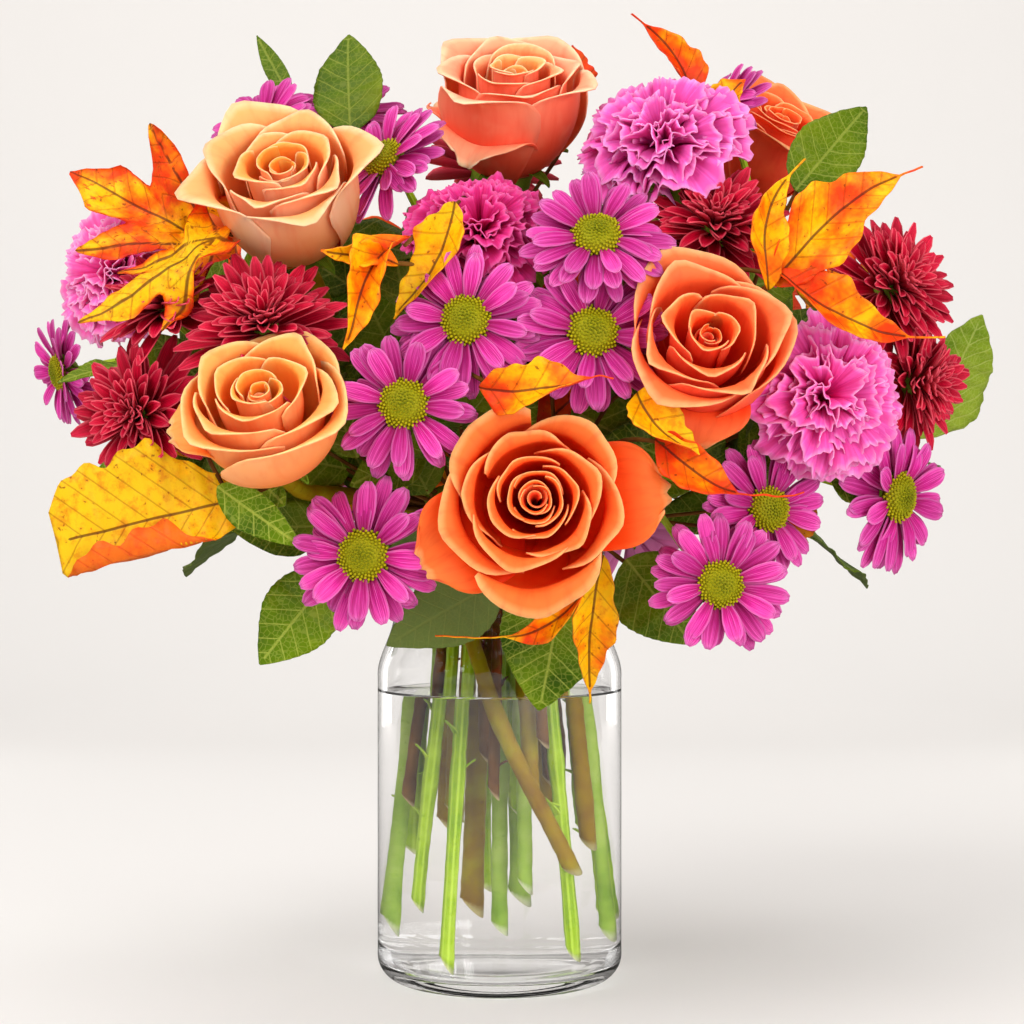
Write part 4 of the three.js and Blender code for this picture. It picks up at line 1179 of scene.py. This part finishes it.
def add_rose(maker, row, seed):
    """Petals in rings from the rolled heart out, petals opened flat, a hip and sepals."""
    rng = np.random.default_rng(seed)
    size = row["radius"]
    opening = row.get("opening", 1.0)
    rings = ROSE_RINGS[row["rings"]]
    depth = 0.95 * size
    start = len(maker.points)
    rise = 0.30 * (1.0 - opening)
    tilt = [Matrix.Rotation(rng.uniform(-0.08, 0.08), 4, axis) for axis in "XY"]
    add_rose_heart(maker, size, depth, rise, rng)
    maker.move(tilt[0] @ tilt[1], start)
    turn = any_turn(rng)
    last = sum(ring[0] for ring in rings) - 1
    done = 0
    for count, belly, height, half, roll, lip, point in rings:
        turn += rng.uniform(0.4, 0.8)
        for k in range(count):
            f = done / last
            done += 1
            spread = belly * (opening if f > 0.3 else 1) * (1 + 0.045 * k) * rng.uniform(0.95, 1.05)
            top = height + rise * (1 - 0.4 * f) + rng.uniform(-0.06, 0.06)
            half_angle = math.radians(half * rng.uniform(0.9, 1.1))
            rolled = math.radians(roll * opening * rng.uniform(0.6, 1.25))
            rim = size * lip * rng.uniform(0.85, 1.2)
            foot = depth * (0.5 + 0.5 * f)
            grid = rose_petal(size * spread, foot, size * top, half_angle, rolled, rim, point, rng)
            u = shares(*grid.shape[:2])[0]
            grid[..., :2] *= (1 + 0.075 * u * (1 if f < 0.7 else 0.7))[..., None]
            number = np.clip(f + rng.uniform(-0.04, 0.04), 0, 1)
            angle = turn + 2 * math.pi * k / count + rng.uniform(-0.12, 0.12)
            maker.petal(grid, angle, number, PETAL_THICKNESS)
    for angle, reach, droop in row.get("open_petals", ()):
        maker.petal(open_petal(size, reach, droop, rng), math.radians(angle), 0.95, PETAL_THICKNESS)
    maker.lathe(scaled(ROSE_HIP, size), 18, 1)
    for k in range(5):
        angle = k * 72 + rng.uniform(-8, 8)
        maker.petal(sepal(size, rng), math.radians(angle), 0.5, PETAL_THICKNESS, 1)
    maker.move(bloom_frame(row), start)


def open_petal(size, reach, droop, rng):
    """An outer petal that has opened flat."""
    u, v = shares(17, 20)
    half = 0.6 * size * (1 - np.abs(2 * np.clip(v, 0.02, 0.975) - 1) ** 3) ** 0.5
    torn = 0.03 * size * np.sin(9 * u + any_turn(rng)) * v ** 6
    y = 0.25 * size + (reach - 0.25 * size) * v * (1 - 0.08 * np.abs(u) ** 3) + torn
    z = -0.62 * size + 0.5 * size * np.sin(v * 2.0) - droop * v ** 3 + 0.10 * size * u ** 2
    z = z + 0.04 * size * np.sin(u * 4 + any_turn(rng)) * v ** 2
    return np.stack([u * half, y, z], axis=-1)


def sepal(size, rng):
    """A narrow green sepal that bends down from the hip."""
    u, v = shares(5, 12)
    half = 0.13 * size * (1 - v) ** 0.7 + 0.2
    bend = 0.4 + 1.5 * v + rng.uniform(-0.2, 0.3)
    y = 0.16 * size + 0.62 * size * np.cumsum(np.sin(bend), axis=1) / 12
    z = -0.88 * size + 0.5 * size * np.cumsum(np.cos(bend), axis=1) / 12 + 1.2 * u ** 2
    return np.stack([u * half, y, z], axis=-1)


# ---- Ray flowers ----
def ray(length, width, lift, bend, cup, groove, blunt, across=7, along=12):
    """One ray petal from its base: x across, y outwards, z up."""
    u, v = shares(across, along)
    swell = np.minimum(1, 0.3 + 0.7 * (v / 0.5) ** 0.8)
    tip = np.sqrt(np.clip(1 - (np.clip(v - blunt, 0, 1) / (1 - blunt + 0.012)) ** 2, 0.01, 1))
    half = width / 2 * swell * tip
    angle = lift + bend * v
    step = length / (along - 1)
    y, z = (np.cumsum(part(angle) * step * (v > 0), axis=1) for part in (np.cos, np.sin))
    fold = cup * u ** 2 * half + groove * np.cos(3 * np.pi * u) * (1 - 0.5 * v)
    return np.stack([u * half, y - np.sin(angle) * fold, z + np.cos(angle) * fold], axis=-1)


def add_floret(maker, size, tall, lean, place, turn, number, kind):
    """One closed floret of a disc: a tapered six-sided peg with a point."""
    ring = np.linspace(0, 2 * np.pi, 6, endpoint=False)
    base = -0.4 * size
    points = [(size * c, size * s, base) for c, s in zip(np.cos(ring), np.sin(ring))]
    points += [(0.75 * x, 0.75 * y, 0.75 * tall) for x, y, _ in points]
    points = np.array(points + [(0, 0, tall), (0, 0, base)])
    c, s = math.cos(lean), math.sin(lean)
    x = points[:, 0] * c + points[:, 2] * s + place[0]
    z = points[:, 2] * c - points[:, 0] * s
    points = spin(np.stack([x, points[:, 1], z], axis=-1), turn) + (0, 0, place[1])
    index = np.arange(6)
    after = (index + 1) % 6
    top, foot = np.full(6, 12), np.full(6, 13)
    faces = [quads(index, after, after + 6, index + 6), quads(index + 6, after + 6, top, top),
             quads(after, index, foot, foot)]
    details = np.zeros((14, 4))
    details[:, 0] = [0] * 6 + [0.8] * 6 + [1, 0]
    details[:, 2] = number
    maker.add(points, details, np.concatenate(faces), kind)


def add_disc(maker, radius, height, base, rng, florets=190, kind=1):
    """A domed disc of small florets set in a spiral."""
    dome = [(0.9, 0.35), (0.6, 0.8), (0.25, 1), (0, 1)]
    profile = [(0, base - 1.5), (radius * 0.9, base - 1.5), (radius, base)]
    maker.lathe(profile + [(radius * r, base + height * z) for r, z in dome], 24, kind)
    for k in range(florets):
        f = (k + 0.5) / florets
        spread = math.sqrt(f)
        size = radius * (0.062 + 0.018 * f)
        tall = size * (2.2 if f > 0.35 else 1.5) * rng.uniform(0.85, 1.2)
        number = np.clip(f + rng.uniform(-0.1, 0.1), 0, 1)
        place = (radius * spread, base + height * (1 - spread ** 2.2))
        add_floret(maker, size, tall, spread * 0.9, place, k * GOLDEN_TURN, number, kind)


def add_bracts(maker, radius, rng, kind=2):
    """The green cup behind a ray flower."""
    maker.lathe(scaled(DAISY_CUP, radius), 18, kind)
    u, v = shares(3, 6)
    count = 16
    for k in range(count):
        half = 0.055 * radius * (1 - 0.75 * v ** 2)
        y = (0.12 + 0.27 * v) * radius * (1 if k % 2 else 0.9)
        grid = np.stack([u * half, y, (-0.27 + 0.21 * v) * radius - 0.5], axis=-1)
        maker.petal(grid, k * 2 * math.pi / count + rng.uniform(-0.05, 0.05), rng.random(), kind=kind)


# Rows of rays: count, share of the full length, level, and lift.
DAISY_RAYS = [(15, 1.0, -1.8, -0.06), (13, 0.95, -0.5, 0.1), (8, 0.8, 0.6, 0.3)]


def add_daisy(maker, row, seed):
    rng = np.random.default_rng(seed)
    size = row["radius"]
    disc = 0.31 * size
    inset = 0.72 * disc
    start = len(maker.points)
    for layer, (count, share, level, lift) in enumerate(DAISY_RAYS):
        for k in range(count):
            length = (size - inset) * share * rng.uniform(0.88, 1.04)
            width = size * rng.uniform(0.2, 0.27)
            raised = lift + rng.uniform(-0.06, 0.12)
            bend = rng.uniform(-0.34, 0.05) - 0.7 * (rng.random() > 0.82)
            grid = ray(length, width, raised, bend, rng.uniform(0.12, 0.34), 0.011 * size, 0.72)
            grid[..., 0] += grid[..., 1] * rng.uniform(-0.06, 0.06)
            grid += (0, inset, level)
            number = rng.random()
            turn = 2 * math.pi * (k + 0.5 * layer) / count + rng.uniform(-0.13, 0.13)
            maker.petal(grid, turn, number)
    add_disc(maker, disc, 0.14 * size, 0.2, rng)
    add_bracts(maker, size, rng)
    maker.move(bloom_frame(row, any_turn(rng)), start)


def add_burgundy(maker, row, seed):
    rng = np.random.default_rng(seed)
    size = 1.1 * row["radius"]
    start = len(maker.points)
    count = 120
    for k in range(count):
        f = (k + 0.5) / count
        length = size * (0.26 + 0.72 * f ** 0.7) * rng.uniform(0.82, 1.08)
        lift = math.radians(84 * (1 - f) ** 0.8 - 8) + rng.uniform(-0.2, 0.2)
        bend = rng.uniform(-0.1, 0.35) if f > 0.5 else rng.uniform(-0.36, -0.08)
        width = size * (0.09 + 0.14 * f ** 0.8) * rng.uniform(0.8, 1.15)
        grid = ray(length, width, lift, bend - 0.4 * f, 0.9 - 0.5 * f, 0.006 * size, 0.6, 5, 9)
        grid += (0, size * (0.02 + 0.1 * math.sqrt(f)), size * (0.12 - 0.36 * f))
        maker.petal(grid, k * GOLDEN_TURN + rng.uniform(-0.25, 0.25), rng.random())
    maker.lathe(scaled(BURGUNDY_CUP, size), 18, 1)
    maker.move(bloom_frame(row, any_turn(rng)), start)


# ---- Carnations ----
PETAL_FOOT = 0.04      # share of a carnation petal's length at which its blade starts


def ruffled_petal(length, fan, lift, rng):
    """A fan-shaped petal with a pinked, ruffled edge."""
    u, v = shares(35, 11, start=PETAL_FOOT)
    phase = any_turn(rng, 3)
    waves = rng.uniform(1.4, 2.4)
    teeth = 1 + 0.035 * (np.abs(((u * 11 + phase[0]) % 2) - 1) - 0.5) * 2 * v ** 6
    reach = length * v * teeth * (1 - 0.10 * u ** 2)
    angle = u * fan * (0.35 + 0.65 * v)
    y = reach * np.cos(angle)
    ruffle = 0.15 * np.sin(waves * np.pi * u + phase[1]) + 0.045 * np.sin(6.3 * np.pi * u + phase[2])
    z = v ** 2 * length * ruffle - 0.28 * length * v ** 2.5
    c, s = math.cos(lift), math.sin(lift)
    return np.stack([reach * np.sin(angle), y * c - z * s, y * s + z * c], axis=-1)


def add_carnation(maker, row, seed):
    rng = np.random.default_rng(seed)
    size = row["radius"]
    start = len(maker.points)
    count = 38
    for k in range(count):
        f = (k + 0.5) / count
        length = size * (0.70 + 0.36 * f) * rng.uniform(0.9, 1.06)
        lift = math.radians(98 - 86 * f ** 0.8) + rng.uniform(-0.16, 0.16)
        fan = math.radians(rng.uniform(38, 52)) * (1.0 - 0.15 * (1 - f))
        grid = ruffled_petal(length, fan, lift, rng) + (0, 0.05 * size, -0.42 * size * (1 - 0.35 * f))
        maker.petal(grid, k * GOLDEN_TURN + rng.uniform(-0.1, 0.1), rng.random(), 0.35, 0, PETAL_FOOT)
    maker.lathe(scaled(CARNATION_CALYX, size), 20, 1)
    maker.move(bloom_frame(row, any_turn(rng)), start)


# ---- Blooms and their stems ----
def make_single_blooms(kind, rows, seed, add_bloom, tints, stem):
    """Roses or carnations: each bloom and each stem is a piece."""
    for k, row in enumerate(rows):
        name = f"{kind}_bloom_{k + 1}"
        maker = Builder()
        add_bloom(maker, row, seed + k)
        maker.make(name + "_made", [tints[row["tint"]], CALYX], kind + "_petals", name)
        single_stem(f"{kind}_stem_{k + 1}", row, kind, stem, kind + "_stems", seed + 50 + k)


def make_spray(node, kind, row, k, first_bloom):
    """A forked stem and each of its blooms are pieces."""
    seed = MUMS[kind]["seed"] + 10 * k
    name = f"{node}_spray_{k + 1}"
    maker = Builder()
    ends = bloom_ends(row, kind)
    forked(maker, row, ends, STEM_RADIUS["mum"], PEDICEL_RADIUS, np.random.default_rng(seed))
    maker.make(name + "_made", [MUM_STEM], "mum_stems", name)
    for j, flower in enumerate(row["blooms"]):
        bloom = f"{node}_bloom_{first_bloom + j}"
        maker = Builder()
        MUMS[kind]["add"](maker, flower, seed + 1 + j)
        maker.make(bloom + "_made", MUMS[kind]["materials"], kind + "_petals", bloom)


def make_back_spray(kind, row):
    """A back spray is one node, so its stem and blooms are one piece."""
    seed = MUMS[kind]["seed"] + 50
    materials = MUMS[kind]["materials"]
    name = f"back_{kind}_spray"
    maker = Builder()
    ends = bloom_ends(row, kind)
    rng = np.random.default_rng(seed)
    forked(maker, row, ends, STEM_RADIUS["mum"], PEDICEL_RADIUS, rng, len(materials))
    for j, flower in enumerate(row["blooms"]):
        MUMS[kind]["add"](maker, flower, seed + 1 + j)
    maker.make(name + "_made", materials + [MUM_STEM], kind + "_petals", name)


MUMS = {
    "daisy": dict(seed=300, add=add_daisy, materials=[DAISY_PETAL, DAISY_DISC, CALYX]),
    "burgundy": dict(seed=400, add=add_burgundy, materials=[BURGUNDY_PETAL, CALYX]),
}


def make_sprays():
    for node, kind, rows in (("daisy", "daisy", DAISY_SPRAYS), ("burgundy_mum", "burgundy", BURGUNDY_SPRAYS)):
        first_bloom = 1
        for k, row in enumerate(rows):
            make_spray(node, kind, row, k, first_bloom)
            first_bloom += len(row["blooms"])
    make_back_spray("daisy", BACK_DAISY_SPRAY)
    make_back_spray("burgundy", BACK_BURGUNDY_SPRAY)


def make_branches():
    for look, rows, seed in (("autumn", AUTUMN_BRANCHES, 500), ("salal", SALAL_BRANCHES, 600)):
        for k, row in enumerate(rows):
            branch_piece(f"{look}_branch_{k + 1}", row, look, seed + k)


# ---- Jar and water ----
def arc(radius, z, size, start, end, steps):
    angles = np.radians(np.linspace(start, end, steps + 1))
    return [(radius + size * math.cos(a), z + size * math.sin(a)) for a in angles]


def shoulder(from_radius, to_radius, from_z, to_z, steps):
    """A smooth step from one radius to another."""
    places = []
    for t in np.linspace(0, 1, steps + 1):
        ease = t * t * (3 - 2 * t)
        places.append((from_radius + (to_radius - from_radius) * ease, from_z + (to_z - from_z) * t))
    return places


def upright(radius, low, high, count):
    return [(radius, z) for z in np.linspace(low, high, count)]


def screw(rings, turn):
    """Raises one and a half turns of thread, and leaves faint waves in the body."""
    x, y, z = rings[..., 0], rings[..., 1], rings[..., 2]
    r = np.hypot(x, y)
    on_neck = (np.abs(r - NECK_RADIUS) < 0.01) & (z > THREAD_LOW - 2) & (z < THREAD_HIGH + 0.5)
    lead = THREAD_LOW + 2 + THREAD_PITCH * turn[None, :] / (2 * np.pi)
    offset = (z - lead + THREAD_PITCH / 2) % THREAD_PITCH - THREAD_PITCH / 2
    ridge = THREAD_DEPTH * np.exp(-(offset / 0.9) ** 2) * on_neck
    ridge = ridge * np.clip((z - THREAD_LOW) / 1.5, 0, 1) * np.clip((THREAD_HIGH - 1 - z) / 1.5, 0, 1)
    on_body = (r > INNER_RADIUS - 2) & (z > HEEL_RADIUS) & (z < SHOULDER_BOTTOM)
    wave = 0.06 * np.sin(3 * turn[None, :] + z * 0.09) * on_body
    scale = (r + ridge - np.abs(wave)) / np.maximum(r, 1e-6)
    return np.stack([x * scale, y * scale, z], axis=-1)


def make_jar():
    """The jar as one closed turned body, with a screw thread on its neck."""
    ring = JAR_RADIUS - HEEL_RADIUS
    outside = [(0, PUNT_DEPTH), (ring - 3 * FOOT_RING_WIDTH, PUNT_DEPTH)]
    outside += shoulder(ring - 2 * FOOT_RING_WIDTH, ring - FOOT_RING_WIDTH, PUNT_DEPTH, 0, 6)
    outside += arc(ring, HEEL_RADIUS, HEEL_RADIUS, -90, 0, 10)
    outside += upright(JAR_RADIUS, 14, SHOULDER_BOTTOM - 2, 12)
    outside += shoulder(JAR_RADIUS, NECK_RADIUS, SHOULDER_BOTTOM, SHOULDER_TOP, 14)
    for t in np.linspace(0.1, 1, 8):
        bead = BEAD_DEPTH * math.sin(math.pi * t) ** 0.7
        outside.append((NECK_RADIUS + bead, SHOULDER_TOP + BEAD_HEIGHT * t))
    outside += upright(NECK_RADIUS, THREAD_LOW - 1, THREAD_HIGH, 34)
    outside += arc(NECK_RADIUS - 1.6, JAR_HEIGHT - 1.6, 1.6, 0, 90, 4)
    inside = arc(MOUTH_RADIUS + 1.4, JAR_HEIGHT - 1.4, 1.4, 90, 180, 4)
    inside += upright(MOUTH_RADIUS, JAR_HEIGHT - 6, SHOULDER_TOP + 2, 4)
    inside += shoulder(MOUTH_RADIUS, INNER_RADIUS, SHOULDER_TOP, SHOULDER_BOTTOM, 12)
    inside += upright(INNER_RADIUS, SHOULDER_BOTTOM - 4, JAR_FLOOR + INNER_HEEL + 4, 8)
    inside += arc(INNER_RADIUS - INNER_HEEL, JAR_FLOOR + INNER_HEEL, INNER_HEEL, 0, -90, 8)
    inside += [(radius, JAR_FLOOR + z) for radius, z in FLOOR_DOME]
    maker = Builder()
    maker.lathe(outside + inside, 128, 0, screw)
    maker.make("jar_made", [clear_body("jar_glass", 1.5, 0.38)], "jar_glass", "jar")


def make_water():
    """The water, just into the glass, with a meniscus at its edge."""
    radius = INNER_RADIUS + WATER_OVERLAP
    floor = JAR_FLOOR - WATER_OVERLAP
    top = WATER_LEVEL + 0.8
    profile = [(r, floor + z) for r, z in reversed(FLOOR_DOME)]
    profile += arc(radius - INNER_HEEL, floor + INNER_HEEL, INNER_HEEL, -90, 0, 8)
    profile += upright(radius, JAR_FLOOR + INNER_HEEL + 4, top - 0.5, 10)
    profile += [(radius, top - 0.1), (radius - 0.05, top)]
    for t in (0.05, 0.15, 0.3, 0.5, 0.75, 1):
        profile.append((radius - MENISCUS_WIDTH * t, top - MENISCUS_RISE * math.sin(t * math.pi / 2)))
    profile += [(r, top - MENISCUS_RISE - 0.01) for r in (radius - 4, radius - 20, 0)]
    maker = Builder()
    maker.lathe(profile, 128)
    maker.make("water_made", [clear_body("water", 1.33, 0.1)], "water", "water")


# ---- Stage ----
def mirrored(nodes):
    """1 for what is seen as a reflection in the glass, else 0."""
    path = nodes.node("ShaderNodeLightPath").outputs
    return nodes.math("MULTIPLY", path["Is Glossy Ray"], path["Is Reflection Ray"])


def make_stage():
    """A pale sheet of paper that runs level and then curves up behind; seen in the glass's reflections it is
    painted dark grey, a painted darker reflection.
    """
    width, level, bend, height = 5.0, 0.9, 0.7, 2.6
    run = [(-width, 0), (level, 0)]
    for a in np.linspace(0.1, math.pi / 2, 12):
        run.append((level + bend * math.sin(a), bend - bend * math.cos(a)))
    run.append((level + bend, height))
    points = [(x, y, z) for y, z in run for x in (-width, width)]
    faces = [(2 * k, 2 * k + 1, 2 * k + 3, 2 * k + 2) for k in range(len(run) - 1)]
    mesh = bpy.data.meshes.new("backdrop")
    mesh.from_pydata(points, [], faces)
    mesh.polygons.foreach_set("use_smooth", [True] * len(faces))
    s = Surface("paper", 0.9, Specular_IOR_Level=0.1)
    # Paper is pale, but in reflections it is painted dark grey: a painted dark reflection in the glass.
    mesh.materials.append(s.paint(s.mix(mirrored(s), colour("#e9e6e3"), colour("#5a5856"))))
    backdrop = bpy.data.objects.new("backdrop", mesh)
    bpy.context.collection.objects.link(backdrop)


# Lamps: place, target and size in metres, and power in watts.
BUNCH_CENTRE = (0, 0, 0.2)
LAMPS = {
    "key": ((-0.9, -1.1, 1.2), BUNCH_CENTRE, (1.2, 1.2), 18.5),
    "fill": ((0.9, -1.3, 0.45), BUNCH_CENTRE, (1.1, 0.8), 14),
    "top": ((0, 0.2, 1.6), (0, 0.7, 0.3), (1.3, 1.3), 6),
    "left_strip": ((-0.66, 0.78, 0.3), (0, 0, 0.12), (0.22, 0.8), 0.6),
    "right_strip": ((0.66, 0.78, 0.3), (0, 0, 0.12), (0.22, 0.8), 0.6),
}
SKY_COLOUR = (1.0, 0.985, 0.97, 1)
SKY_STRENGTH = 0.64
SKY_LOSS_IN_REFLECTIONS = -0.42
SKY_GAIN_WHERE_SEEN = 0.25


def add_light(name, place, target, size, power):
    data = bpy.data.lights.new(name, "AREA")
    data.shape = "RECTANGLE"
    data.size, data.size_y = size
    data.energy = power
    lamp = bpy.data.objects.new(name, data)
    lamp.location = place
    aim = Vector(target) - Vector(place)
    lamp.rotation_euler = aim.to_track_quat("-Z", "Y").to_euler()
    bpy.context.collection.objects.link(lamp)


def make_lights():
    """Soft lamps, and a pale sky that is dimmer in reflections and brighter where it is seen."""
    for name, settings in LAMPS.items():
        add_light(name, *settings)
    world = bpy.data.worlds.new("studio")
    world.use_nodes = True
    nodes = Nodes(world.node_tree)
    sky = nodes.tree.nodes["Background"]
    sky.inputs[0].default_value = SKY_COLOUR
    path = nodes.node("ShaderNodeLightPath").outputs
    dimmed = nodes.math("MULTIPLY_ADD", mirrored(nodes), SKY_LOSS_IN_REFLECTIONS, SKY_STRENGTH)
    seen = nodes.math("MAXIMUM", path["Is Camera Ray"], path["Is Transmission Ray"])
    nodes.wire(nodes.math("MULTIPLY_ADD", seen, SKY_GAIN_WHERE_SEEN, dimmed), sky.inputs[1])
    bpy.context.scene.world = world
    bpy.context.scene.view_settings.view_transform = "Standard"


make_jar()
make_water()
make_single_blooms("rose", ROSES, 100, add_rose, ROSE_TINTS, ROSE_STEM)
make_single_blooms("carnation", CARNATIONS, 200, add_carnation, CARNATION_TINTS, CARNATION_STEM)
make_sprays()
make_branches()
make_stage()
make_lights()
